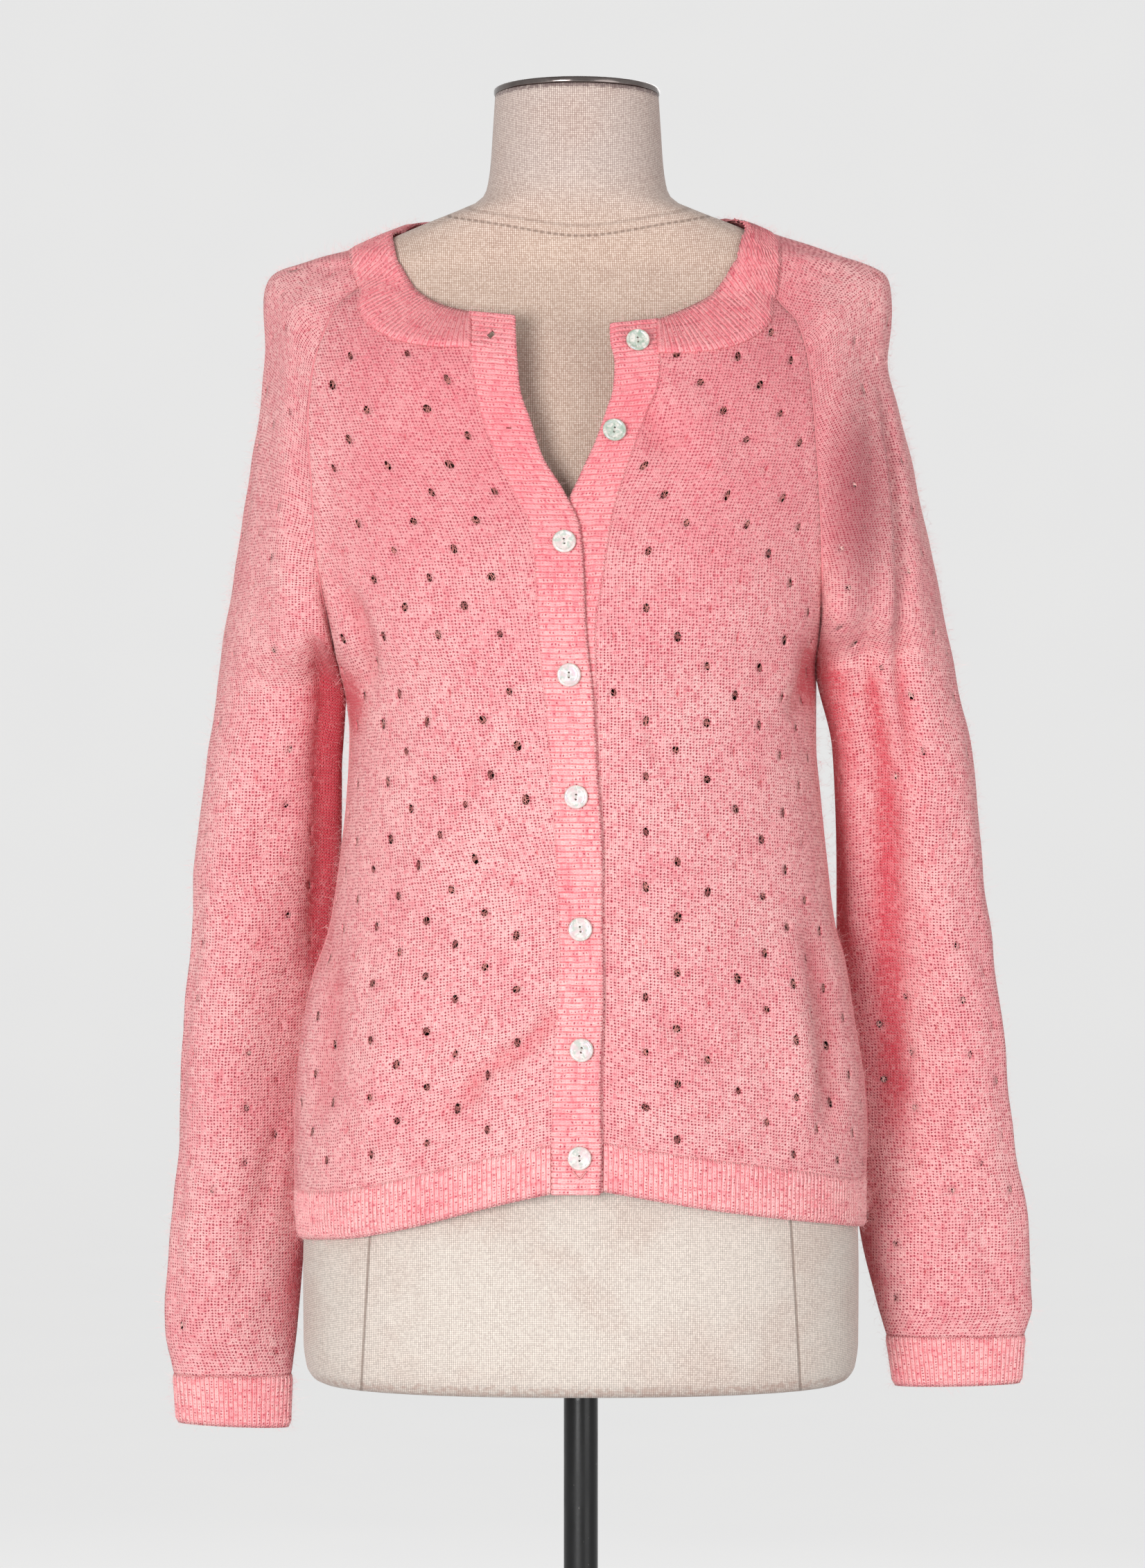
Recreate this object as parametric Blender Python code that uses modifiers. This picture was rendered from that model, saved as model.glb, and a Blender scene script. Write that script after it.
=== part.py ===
# Raglan cardigan hanging on a limbless dress form with a pole and a round base.
# Metres, +Z up, +X to the viewer's right, the front faces -Y, origin at the centre of the base's underside.
# "right" and "left" are the wearer's sides, so right is at -X.
import math

import bmesh
import bpy
import numpy as np
from mathutils import Matrix, Vector

COLLECTION = "cardigan on dress form"

# Cloth
WALL = 0.0016  # thickness of the knitted panels
RIB_WALL = 0.0018  # thickness of the ribbed strips, without their ribs
RIB = 0.0008  # how far a rib stands out
SEAM = 0.0003  # gap between pieces that are sewn together
LAP = 0.0038  # how far the buttonhole band lies above the button band
LAP_FADE = 0.060  # width over which the lapping front comes down to its own level
RIB_PITCH_HEM = 0.0090
RIB_PITCH_BAND = 0.0100
HEM_HEIGHT = 0.0295

# Grid sizes of the panels
ROWS_LOW = 9  # rows from the hem up to the underarm
YOKE_STEPS = (0.0, 0.16, 0.33, 0.50, 0.66, 0.80, 0.865, 0.93, 1.0)  # rows from the underarm up
COLUMNS_FRONT = 9
COLUMNS_BACK = 20
ROUND_SLEEVE = 20  # columns around a sleeve
SLEEVE_ROWS = 14  # rows of a sleeve from its cuff up to the underarm
NECK_TURN = YOKE_STEPS[4]  # up to here a front's rows end at the band, above it at the neckband
TOP_EDGE = 0.04  # share of a front that its highest row keeps
NECK_BEND = 2.2  # how late a front's neck edge climbs: 1 is straight
MERGE_NEAR = 0.003  # points of the neck edge nearer than this are one

# Form of the body seen from above: length of the arc's handles as a share, how much the handle
# at the side leans back in the yoke, and the height over which it does
BODY_HANDLE = 0.58
SIDE_LEAN = 0.22
SIDE_LEAN_RISE = 0.08

# Form of a sleeve's ring: tangents at its guide points and at its open ends, the climb at which
# the ring is fully open, and how the shoulder's bulge turns sideways, back and up with the climb
RING_TANGENT = 0.83
OPEN_TANGENT = 1.2
OPEN_CLIMB = 0.4
BULGE_TURN = (0.35, 0.2, 0.5)
FOLD_FADE = 0.25  # share of a fold's length over which it begins and ends
FINE = 160  # points of a path before it is read at even steps

# Height of the underarm, and where the raglan seams meet the neckband
UNDERARM = {"right": 1.164, "left": 1.180}
RAGLAN_TOP = {"right": 1.420, "left": 1.414}
BACK_TOP = {"right": 1.443, "left": 1.447}
BACK_NECK = 1.446  # centre back, at the lower edge of the neckband
PICK_UP_TOP = {"right": 1.3765, "left": 1.3730}  # where the neckband meets the bands

# Centre line of the body: height, y of the front, y of the back
CENTRE = (
    (0.800, -0.1230, 0.1215),
    (0.860, -0.1250, 0.1225),
    (0.930, -0.1265, 0.1160),
    (1.010, -0.1270, 0.1060),
    (1.080, -0.1280, 0.1000),
    (1.150, -0.1310, 0.1020),
    (1.200, -0.1320, 0.1060),
    (1.240, -0.1280, 0.1090),
    (1.280, -0.1190, 0.1110),
    (1.320, -0.1130, 0.1100),
    (1.360, -0.1060, 0.1050),
    (1.390, -0.0920, 0.0990),
    (1.420, -0.0700, 0.0925),
    (1.450, -0.0500, 0.0850),
)

# Side seam below the underarm and raglan seams above it:
# height, x and y where the front ends, x and y where the back ends
SIDE = {
    "right": (
        (0.800, -0.1785, 0.000, -0.1785, 0.000),
        (0.820, -0.1791, 0.000, -0.1791, 0.000),
        (0.845, -0.1810, 0.000, -0.1810, 0.000),
        (0.887, -0.1815, 0.000, -0.1815, 0.000),
        (0.938, -0.1782, 0.000, -0.1782, 0.000),
        (0.980, -0.1712, 0.000, -0.1712, 0.000),
        (1.016, -0.1593, 0.000, -0.1593, 0.000),
        (1.058, -0.1527, 0.000, -0.1527, 0.000),
        (1.100, -0.1480, 0.000, -0.1480, 0.000),
        (1.139, -0.1462, 0.000, -0.1462, 0.000),
        (1.164, -0.1490, 0.000, -0.1490, 0.000),
        (1.200, -0.1560, -0.026, -0.1560, 0.034),
        (1.254, -0.1650, -0.048, -0.1630, 0.062),
        (1.292, -0.1674, -0.056, -0.1640, 0.073),
        (1.330, -0.1700, -0.060, -0.1620, 0.079),
        (1.365, -0.1673, -0.057, -0.1570, 0.080),
        (1.385, -0.1619, -0.053, -0.1520, 0.078),
        (1.407, -0.1524, -0.046, -0.1440, 0.073),
        (1.420, -0.1390, -0.037, -0.1380, 0.067),
        (1.443, -0.1260, -0.020, -0.1260, 0.054),
    ),
    "left": (
        (0.800, 0.1795, 0.000, 0.1795, 0.000),
        (0.828, 0.1800, 0.000, 0.1800, 0.000),
        (0.857, 0.1804, 0.000, 0.1804, 0.000),
        (0.885, 0.1813, 0.000, 0.1813, 0.000),
        (0.913, 0.1800, 0.000, 0.1800, 0.000),
        (0.957, 0.1734, 0.000, 0.1734, 0.000),
        (0.997, 0.1668, 0.000, 0.1668, 0.000),
        (1.019, 0.1606, 0.000, 0.1606, 0.000),
        (1.066, 0.1549, 0.000, 0.1549, 0.000),
        (1.100, 0.1515, 0.000, 0.1515, 0.000),
        (1.134, 0.1487, 0.000, 0.1487, 0.000),
        (1.180, 0.1490, 0.000, 0.1490, 0.000),
        (1.215, 0.1500, -0.030, 0.1550, 0.036),
        (1.254, 0.1495, -0.050, 0.1600, 0.060),
        (1.292, 0.1480, -0.060, 0.1610, 0.073),
        (1.336, 0.1452, -0.062, 0.1580, 0.079),
        (1.369, 0.1423, -0.057, 0.1520, 0.080),
        (1.395, 0.1360, -0.049, 0.1450, 0.076),
        (1.414, 0.1215, -0.040, 0.1370, 0.069),
        (1.447, 0.1150, -0.018, 0.1180, 0.053),
    ),
}

# Front bands: height, x of the line where the band joins its front, x of its free edge
BAND = {
    "right": (
        (0.855, -0.0135, 0.0118),
        (0.886, -0.0180, 0.0122),
        (0.944, -0.0165, 0.0126),
        (1.002, -0.0130, 0.0137),
        (1.069, -0.0160, 0.0126),
        (1.142, -0.0210, 0.0085),
        (1.198, -0.0260, 0.0038),
        (1.232, -0.0278, 0.0017),
        (1.262, -0.0310, -0.0008),
        (1.284, -0.0414, -0.0097),
        (1.306, -0.0520, -0.0230),
        (1.327, -0.0600, -0.0305),
        (1.349, -0.0654, -0.0375),
        (1.377, -0.0686, -0.0392),
        (1.405, -0.0690, -0.0410),
    ),
    "left": (
        (0.855, 0.0132, -0.0135),
        (0.944, 0.0140, -0.0125),
        (1.002, 0.0150, -0.0115),
        (1.069, 0.0140, -0.0125),
        (1.142, 0.0105, -0.0160),
        (1.198, 0.0095, -0.0170),
        (1.233, 0.0143, -0.0130),
        (1.271, 0.0202, -0.0095),
        (1.297, 0.0280, 0.0008),
        (1.316, 0.0345, 0.0089),
        (1.335, 0.0415, 0.0153),
        (1.349, 0.0475, 0.0195),
        (1.365, 0.0495, 0.0208),
        (1.379, 0.0475, 0.0185),
        (1.405, 0.0475, 0.0180),
    ),
}
BAND_DROP = 0.005  # how much lower the top corner of a band is at its free edge
BAND_DROP_BEND = 8  # how late the band's rows begin to drop: 1 is at once

# Lower edge of the hem in front: share of the way from centre to side, height on each side
HEM_LINE = {
    "right": ((0.0, 0.8605), (0.2, 0.8470), (0.4, 0.8340), (0.6, 0.8250), (0.8, 0.8215), (1.0, 0.8205)),
    "left": ((0.0, 0.8600), (0.2, 0.8495), (0.4, 0.8420), (0.6, 0.8350), (0.8, 0.8300), (1.0, 0.8275)),
}
BACK_HEM = 0.8240  # at the centre of the back
PICK_UP_LOW = 0.890  # height at which the bands leave the hem

# Upper edge of the neckband: share of the way round from the right front, x, y, z
NECK_INNER = (
    (0.000, -0.0690, -0.0710, 1.4002),
    (0.050, -0.0852, -0.0620, 1.4052),
    (0.100, -0.0995, -0.0490, 1.4140),
    (0.145, -0.1110, -0.0320, 1.4292),
    (0.180, -0.1157, -0.0120, 1.4453),
    (0.210, -0.1134, 0.0080, 1.4603),
    (0.280, -0.1040, 0.0360, 1.4700),
    (0.380, -0.0700, 0.0600, 1.4740),
    (0.500, -0.0080, 0.0690, 1.4745),
    (0.620, 0.0560, 0.0600, 1.4740),
    (0.720, 0.0880, 0.0360, 1.4720),
    (0.790, 0.0918, 0.0080, 1.4660),
    (0.830, 0.0985, -0.0080, 1.4510),
    (0.865, 0.0955, -0.0250, 1.4350),
    (0.900, 0.0850, -0.0460, 1.4165),
    (0.950, 0.0640, -0.0650, 1.4025),
    (1.000, 0.0478, -0.0735, 1.3952),
)

# Top of a sleeve, from the underarm to the neckband: share of the raglan seam, then x, y and z
# of the ridge over the shoulder, and how far the front and the back stand out from a flat fold
SHOULDER = {
    "right": (
        (0.00, -0.2330, 0.020, 1.1640, 0.040, 0.044),
        (0.15, -0.2275, 0.020, 1.2000, 0.036, 0.038),
        (0.35, -0.2185, 0.018, 1.2580, 0.030, 0.030),
        (0.50, -0.2100, 0.016, 1.3130, 0.024, 0.024),
        (0.62, -0.2030, 0.014, 1.3550, 0.020, 0.019),
        (0.72, -0.2008, 0.012, 1.3920, 0.017, 0.016),
        (0.80, -0.2011, 0.010, 1.4190, 0.014, 0.013),
        (0.86, -0.1955, 0.010, 1.4335, 0.012, 0.011),
        (0.93, -0.1700, 0.009, 1.4415, 0.009, 0.008),
        (1.00, -0.1405, 0.008, 1.4500, 0.006, 0.005),
    ),
    "left": (
        (0.00, 0.2398, 0.020, 1.1800, 0.040, 0.044),
        (0.15, 0.2325, 0.020, 1.2140, 0.036, 0.038),
        (0.35, 0.2225, 0.018, 1.2640, 0.030, 0.030),
        (0.50, 0.2140, 0.016, 1.3080, 0.024, 0.024),
        (0.62, 0.2042, 0.014, 1.3450, 0.020, 0.019),
        (0.72, 0.1950, 0.012, 1.3820, 0.017, 0.016),
        (0.80, 0.1950, 0.010, 1.4130, 0.014, 0.013),
        (0.86, 0.1925, 0.010, 1.4335, 0.012, 0.011),
        (0.93, 0.1600, 0.009, 1.4450, 0.009, 0.008),
        (1.00, 0.1155, 0.008, 1.4600, 0.006, 0.005),
    ),
}

# Sleeves below the underarm: height, x and y of the inner edge, x and y of the outer edge,
# depth of the front and of the back from the line between them
TUBE = {
    "right": (
        (0.6955, -0.1873, 0.045, -0.2600, 0.046, 0.015, 0.015),
        (0.7280, -0.1860, 0.045, -0.2625, 0.046, 0.017, 0.017),
        (0.7550, -0.1830, 0.047, -0.2680, 0.048, 0.022, 0.022),
        (0.8160, -0.1780, 0.051, -0.2645, 0.048, 0.027, 0.027),
        (0.8770, -0.1735, 0.053, -0.2593, 0.046, 0.028, 0.028),
        (0.9380, -0.1680, 0.053, -0.2564, 0.042, 0.028, 0.030),
        (0.9990, -0.1600, 0.047, -0.2515, 0.036, 0.030, 0.032),
        (1.0600, -0.1535, 0.032, -0.2475, 0.030, 0.034, 0.036),
        (1.1200, -0.1522, 0.014, -0.2405, 0.024, 0.038, 0.041),
        (1.1640, -0.1520, 0.002, -0.2330, 0.020, 0.040, 0.044),
    ),
    "left": (
        (0.7215, 0.2014, 0.045, 0.2833, 0.046, 0.015, 0.015),
        (0.7530, 0.1964, 0.045, 0.2860, 0.046, 0.017, 0.017),
        (0.7730, 0.1910, 0.047, 0.2908, 0.048, 0.022, 0.022),
        (0.8200, 0.1800, 0.051, 0.2895, 0.048, 0.027, 0.027),
        (0.8800, 0.1735, 0.053, 0.2780, 0.046, 0.028, 0.028),
        (0.9400, 0.1690, 0.053, 0.2733, 0.042, 0.028, 0.030),
        (1.0000, 0.1650, 0.047, 0.2648, 0.036, 0.030, 0.032),
        (1.0600, 0.1640, 0.032, 0.2576, 0.030, 0.034, 0.036),
        (1.1200, 0.1610, 0.014, 0.2510, 0.024, 0.038, 0.041),
        (1.1800, 0.1545, 0.002, 0.2398, 0.020, 0.040, 0.044),
    ),
}

# Long folds in the sleeves: share of the way round at the top and at the bottom, upper and lower
# height, half width as a share of the way round, depth (below zero stands out)
SLEEVE_FOLDS = {
    "right": (
        (0.11, 0.10, 1.250, 0.960, 0.055, 0.0080),
        (0.33, 0.27, 1.160, 0.780, 0.080, -0.0050),
        (0.62, 0.66, 1.200, 0.820, 0.060, 0.0070),
        (0.88, 0.90, 1.220, 0.960, 0.055, 0.0060),
    ),
    "left": (
        (0.22, 0.16, 1.260, 0.820, 0.060, 0.0095),
        (0.37, 0.33, 1.180, 0.800, 0.080, -0.0045),
        (0.63, 0.60, 1.220, 0.840, 0.060, 0.0070),
        (0.88, 0.90, 1.220, 0.960, 0.055, 0.0060),
    ),
}

# Dress form: height, x of the middle, half width, depth of the front and of the back,
# and how square the ring is (2 is an ellipse)
FORM = (
    (0.7300, 0.0000, 0.1640, 0.0960, 0.1000, 2.3),
    (0.7325, 0.0000, 0.1690, 0.1010, 0.1050, 2.3),
    (0.7400, 0.0000, 0.1735, 0.1055, 0.1095, 2.3),
    (0.7550, 0.0000, 0.1755, 0.1080, 0.1120, 2.3),
    (0.8000, 0.0000, 0.1758, 0.1090, 0.1130, 2.3),
    (0.8500, 0.0000, 0.1745, 0.1080, 0.1130, 2.3),
    (0.9100, 0.0000, 0.1655, 0.1030, 0.1090, 2.3),
    (0.9700, 0.0000, 0.1470, 0.0940, 0.0980, 2.3),
    (1.0200, 0.0000, 0.1300, 0.0860, 0.0850, 2.3),
    (1.0500, 0.0000, 0.1255, 0.0850, 0.0810, 2.3),
    (1.1000, 0.0000, 0.1300, 0.0940, 0.0840, 2.3),
    (1.1600, 0.0000, 0.1380, 0.1130, 0.0910, 2.3),
    (1.2000, 0.0000, 0.1410, 0.1190, 0.0950, 2.3),
    (1.2400, 0.0000, 0.1430, 0.1130, 0.0970, 2.3),
    (1.2900, 0.0000, 0.1480, 0.0990, 0.0990, 2.3),
    (1.3400, 0.0000, 0.1570, 0.0840, 0.0970, 2.3),
    (1.3800, 0.0000, 0.1690, 0.0700, 0.0890, 2.2),
    (1.4080, 0.0000, 0.1830, 0.0550, 0.0770, 2.0),
    (1.4240, 0.0000, 0.1850, 0.0480, 0.0690, 1.8),
    (1.4340, -0.0005, 0.1760, 0.0450, 0.0640, 1.7),
    (1.4450, -0.0010, 0.1410, 0.0460, 0.0600, 1.7),
    (1.4575, -0.0015, 0.1115, 0.0480, 0.0570, 1.8),
    (1.4665, -0.0020, 0.0890, 0.0510, 0.0550, 1.9),
    (1.4755, -0.0025, 0.0650, 0.0550, 0.0545, 2.0),
    (1.4830, -0.0025, 0.0580, 0.0560, 0.0540, 2.0),
    (1.5000, -0.0025, 0.0550, 0.0550, 0.0535, 2.0),
    (1.5230, -0.0025, 0.0534, 0.0535, 0.0530, 2.0),
    (1.5450, -0.0025, 0.0520, 0.0520, 0.0520, 2.0),
)
FORM_COLUMNS = 32
FORM_CLEAR = 0.0011  # room for the cloth's inner side over the form, whose flat faces it bridges
NECK_CLEAR = 0.0004  # more of it for the neckband
NECK_STEP = 0.0012  # room at the lower edge of the neckband, where its ribs meet the panels
CLEAR_PASSES = 6
CLEAR_STEP = 0.0005

CAP_RADIUS = 0.0528
CAP_THICKNESS = 0.0040
POLE_RADIUS = 0.0108
BASE_RADIUS = 0.180
BASE_THICKNESS = 0.010
BASE_EDGE = 0.0015

# Buttons: x, height, and whether the button is closed over the lapping band
BUTTON_RADIUS = 0.00725
BUTTON_THICKNESS = 0.0024
BUTTON_HOLE = 0.0009
BUTTON_HOLE_PITCH = 0.0030
BUTTON_SINK = 0.0005  # how far the dish lies below the rim
BUTTON_LIP = 0.0008  # how far the edge falls away outside the rim
BUTTON_DISH = 0.66  # shares of the radius: the dish, the rim's ridge, the underside
BUTTON_RIDGE = 0.86
BUTTON_UNDER = 0.88
BUTTONS = (
    (0.0349, 1.3796, False),
    (0.0203, 1.3225, False),
    (-0.0101, 1.2527, True),
    (-0.0071, 1.1718, True),
    (-0.0029, 1.0980, True),
    (-0.0004, 1.0178, True),
    (0.0004, 0.9443, True),
    (-0.0008, 0.8792, True),
)
# Open buttonholes in the lapping band: x, height
BUTTONHOLES = ((-0.0555, 1.3830), (-0.0440, 1.3225))
BUTTONHOLE_SIZE = (0.0026, 0.0046)


def smooth(table, at):
    """All columns of a table, read as smooth curves of its first column."""
    rows = np.array(table)
    key, values = rows[:, 0], rows[:, 1:]
    at = np.clip(np.asarray(at, float), key[0], key[-1])
    slope = even_slopes(key, values)
    i = np.clip(np.searchsorted(key, at) - 1, 0, len(key) - 2)
    span = (key[i + 1] - key[i])[..., None]
    t = (at - key[i])[..., None] / span
    start = (1 + 2 * t) * (1 - t) ** 2 * values[i] + t * (1 - t) ** 2 * span * slope[i]
    end = t * t * (3 - 2 * t) * values[i + 1] + t * t * (t - 1) * span * slope[i + 1]
    return start + end


def even_slopes(key, values):
    """Slopes at the rows that keep the curve from swinging past them."""
    steps = np.diff(values, axis=0) / np.diff(key)[:, None]
    before, after = steps[:-1], steps[1:]
    same_way = before * after > 0
    total = np.where(same_way, before + after, 1.0)
    inner = np.where(same_way, 2 * before * after / total, 0.0)
    return np.concatenate([steps[:1], inner, steps[-1:]])


def ease(t):
    """0 below 0, 1 above 1, smooth between."""
    t = np.clip(t, 0.0, 1.0)
    return t * t * (3 - 2 * t)


def body_point(side, face, z, share):
    """Point of the body at height z, at a share of the way from the centre line to the side or raglan seam.
    Seen from above each quarter is one cubic arc, level at the centre."""
    z, share = np.broadcast_arrays(np.asarray(z, float), np.asarray(share, float))
    centre_y = smooth(CENTRE, z)[..., 0 if face == "front" else 1]
    seam = smooth(SIDE[side], z)
    x, y = (seam[..., 0], seam[..., 1]) if face == "front" else (seam[..., 2], seam[..., 3])
    lean = SIDE_LEAN * ease((z - UNDERARM[side]) / SIDE_LEAN_RISE)
    t = share
    a, b, c, d = (1 - t) ** 3, 3 * t * (1 - t) ** 2, 3 * t * t * (1 - t), t**3
    px = b * BODY_HANDLE * x + c * (1 - lean) * x + d * x
    py = (a + b) * centre_y + c * (y + (centre_y - y) * BODY_HANDLE) + d * y
    return np.stack([px, py, z], axis=-1)


def share_at(side, z, x):
    """The share of the way to the seam at which the front has this x."""
    shares = np.linspace(-0.6, 1.0, 81)
    z, x = np.broadcast_arrays(np.asarray(z, float), np.asarray(x, float))
    found = [
        np.interp(a * seam_sign(side), front_reach(side, h, shares), shares)
        for h, a in zip(z.ravel(), x.ravel())
    ]
    return np.array(found).reshape(z.shape)


def seam_sign(side):
    """-1 on the wearer's right and 1 on the left."""
    return -1 if side == "right" else 1


def front_reach(side, z, shares):
    """Distance from the middle towards the side, for shares that may also lie past the middle."""
    out = body_point(side, "front", z, np.abs(shares))[..., 0] * seam_sign(side)
    return np.where(shares < 0, -out, out)


def front_point(side, z, x):
    """Point of the front surface at x and height z, also past the middle."""
    share = share_at(side, z, x)
    point = body_point(side, "front", z, np.abs(share))
    point[..., 0] = x
    return point


def lapped(points, amount):
    """Points of the lapping front, moved forward."""
    out = points.copy()
    out[..., 1] -= amount
    return out


def panel_point(side, face, z, share):
    """Point of a panel's outer surface, with the lapping front's lift."""
    point = body_point(side, face, z, share)
    if face == "front":
        point[..., 1] -= front_lift(side, point[..., 0], point[..., 2])
    return point


def panel_normals(side, face, z, share, step=0.004):
    """Outward unit normals of a panel, from points a small step to each side."""
    across = panel_point(side, face, z, share + step) - panel_point(side, face, z, share - step)
    up = panel_point(side, face, z + step, share) - panel_point(side, face, z - step, share)
    normal = np.cross(across, up)
    normal = normal / np.linalg.norm(normal, axis=-1, keepdims=True)
    out = panel_point(side, face, z, share)
    return facing_out(out, normal, 0.0)


def grid_normals(points, closed):
    """Unit normals of a grid of points, rows by columns; closed joins the last column to the first."""
    down = np.gradient(points, axis=0)
    if closed:
        across = (np.roll(points, -1, axis=1) - np.roll(points, 1, axis=1)) / 2
    else:
        across = np.gradient(points, axis=1)
    normal = np.cross(across, down)
    return normal / np.linalg.norm(normal, axis=-1, keepdims=True)


def facing_out(points, normals, middle):
    """The normals, turned to point away from the middle (x, y) of each row."""
    away = points[..., :2] - middle
    return normals if (normals[..., :2] * away).sum() > 0 else -normals


def inset(points, sides, gap=SEAM / 2):
    """The grid with the named borders moved inwards by half a seam's gap."""
    out = points.copy()
    rows = {"bottom": (0, 1), "top": (-1, -2)}
    for name in sides:
        if name in rows:
            edge, inner = rows[name]
            step = out[inner] - out[edge]
            out[edge] = out[edge] + gap * step / np.linalg.norm(step, axis=-1, keepdims=True)
        else:
            edge, inner = {"first": (0, 1), "last": (-1, -2)}[name]
            step = out[:, inner] - out[:, edge]
            out[:, edge] = out[:, edge] + gap * step / np.linalg.norm(step, axis=-1, keepdims=True)
    return out


def material(name, colour, roughness, metallic=0.0):
    """A Principled material."""
    made = bpy.data.materials.new(name)
    made.use_nodes = True
    shader = made.node_tree.nodes["Principled BSDF"]
    shader.inputs["Base Color"].default_value = (*colour, 1.0)
    shader.inputs["Roughness"].default_value = roughness
    shader.inputs["Metallic"].default_value = metallic
    return made


def add(name, mesh, look, collection):
    """An object of its own for this mesh, with its own material."""
    mesh.materials.append(material(name, *look))
    made = bpy.data.objects.new(name, mesh)
    collection.objects.link(made)
    return made


def mesh_of(name, points, faces):
    """A mesh of triangles whose faces point out."""
    mesh = bpy.data.meshes.new(name)
    mesh.from_pydata(points, [], faces)
    work = bmesh.new()
    work.from_mesh(mesh)
    bmesh.ops.recalc_face_normals(work, faces=work.faces)
    bmesh.ops.triangulate(work, faces=work.faces)
    work.to_mesh(mesh)
    work.free()
    mesh.shade_smooth()
    return mesh


def wall(name, surface, normals, thickness, look, collection, relief=0.0, closed=False):
    """A cloth wall lofted between two grids: the outer one, raised by the relief, and a plain inner one."""
    rows, columns = surface.shape[:2]
    outer = surface + normals * np.asarray(relief)[..., None]
    inner = surface - normals * thickness
    points = np.concatenate([outer.reshape(-1, 3), inner.reshape(-1, 3)])
    second = rows * columns
    faces = []
    steps = columns if closed else columns - 1
    for j in range(rows - 1):
        for i in range(steps):
            k = (i + 1) % columns
            a, b, c, d = j * columns + i, j * columns + k, (j + 1) * columns + k, (j + 1) * columns + i
            faces.append((a, b, c, d))
            faces.append((second + a, second + d, second + c, second + b))
    for i in range(steps):
        k = (i + 1) % columns
        top = (rows - 1) * columns
        faces.append((i, second + i, second + k, k))
        faces.append((top + i, top + k, second + top + k, second + top + i))
    if not closed:
        last = columns - 1
        for j in range(rows - 1):
            a, b = j * columns, (j + 1) * columns
            faces.append((a, b, second + b, second + a))
            faces.append((a + last, second + a + last, second + b + last, b + last))
    return add(name, mesh_of(name, points.tolist(), faces), look, collection)


def hem_height(side, face, share):
    """Lower edge of the hem at a share of the way from the centre to the side."""
    if face == "back":
        return BACK_HEM + (HEM_LINE[side][-1][1] - BACK_HEM) * ease(share)
    return smooth(HEM_LINE[side], share)[..., 0]


def front_lift(side, x, z):
    """How far the lapping front stands forward of its own level."""
    if side == "left":
        return np.zeros_like(x)
    pick = smooth(BAND["right"], z)[..., 0]
    return LAP * (1 - ease((pick - x) / LAP_FADE))


def front_grid(side):
    """Outer points and normals of a front, rows from hem to neck, columns from the band to the side."""
    columns = np.linspace(0, 1, COLUMNS_FRONT + 1)
    heights, shares = [], []
    for j in range(ROWS_LOW + len(YOKE_STEPS)):
        if j <= ROWS_LOW:
            climb = j / ROWS_LOW
            start = float(smooth(BAND[side], PICK_UP_LOW)[0])
            low_in = hem_height(side, "front", share_at(side, PICK_UP_LOW, start)) + HEM_HEIGHT
            low_out = hem_height(side, "front", 1.0) + HEM_HEIGHT
            z_in = low_in + (UNDERARM[side] - low_in) * climb
            z_out = low_out + (UNDERARM[side] - low_out) * climb
            share_in = share_at(side, z_in, smooth(BAND[side], z_in)[0])
        else:
            climb = YOKE_STEPS[j - ROWS_LOW]
            z_out = UNDERARM[side] + (RAGLAN_TOP[side] - UNDERARM[side]) * climb
            z_in, share_in = neck_edge(side, climb)
        share = share_in + (1 - share_in) * columns
        if j <= ROWS_LOW:
            low = hem_height(side, "front", share) + HEM_HEIGHT
            z = low + (UNDERARM[side] - low) * climb
        else:
            z = z_in + (z_out - z_in) * columns
        heights.append(z)
        shares.append(share)
    heights, shares = np.array(heights), np.array(shares)
    return panel_point(side, "front", heights, shares), panel_normals(side, "front", heights, shares)


def neck_edge(side, climb):
    """Height and share of the inner border of a front in the yoke: first the band, then the neckband."""
    if climb <= NECK_TURN:
        z = UNDERARM[side] + (PICK_UP_TOP[side] - UNDERARM[side]) * climb / NECK_TURN
        return z, float(share_at(side, z, smooth(BAND[side], z)[0]))
    turn = (climb - NECK_TURN) / (1 - NECK_TURN)
    start = float(share_at(side, PICK_UP_TOP[side], smooth(BAND[side], PICK_UP_TOP[side])[0]))
    z = PICK_UP_TOP[side] + (RAGLAN_TOP[side] - PICK_UP_TOP[side]) * turn**NECK_BEND
    return z, start + (1 - TOP_EDGE - start) * turn


def back_grid():
    """Outer points and normals of the back, columns from the wearer's right to the left."""
    across = np.linspace(-1, 1, COLUMNS_BACK + 1)
    under = np.where(across < 0, UNDERARM["right"], UNDERARM["left"])
    middle = (UNDERARM["right"] + UNDERARM["left"]) / 2
    under = middle + (under - middle) * ease(np.abs(across))
    top_side = np.where(across < 0, BACK_TOP["right"], BACK_TOP["left"])
    top = BACK_NECK + (top_side - BACK_NECK) * ease(np.abs(across))
    heights = []
    low = np.where(across < 0, *(hem_height(side, "back", np.abs(across)) for side in ("right", "left")))
    low = low + HEM_HEIGHT
    for j in range(ROWS_LOW):
        heights.append(low + (under - low) * j / ROWS_LOW)
    for climb in YOKE_STEPS:
        heights.append(under + (top - under) * climb)
    heights = np.array(heights)
    shares = np.broadcast_to(np.abs(across), heights.shape)
    is_right = (across < 0)[None, :, None]
    points = [panel_point(side, "back", heights, shares) for side in ("right", "left")]
    normals = [panel_normals(side, "back", heights, shares) for side in ("right", "left")]
    return np.where(is_right, *points), np.where(is_right, *normals)


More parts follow.
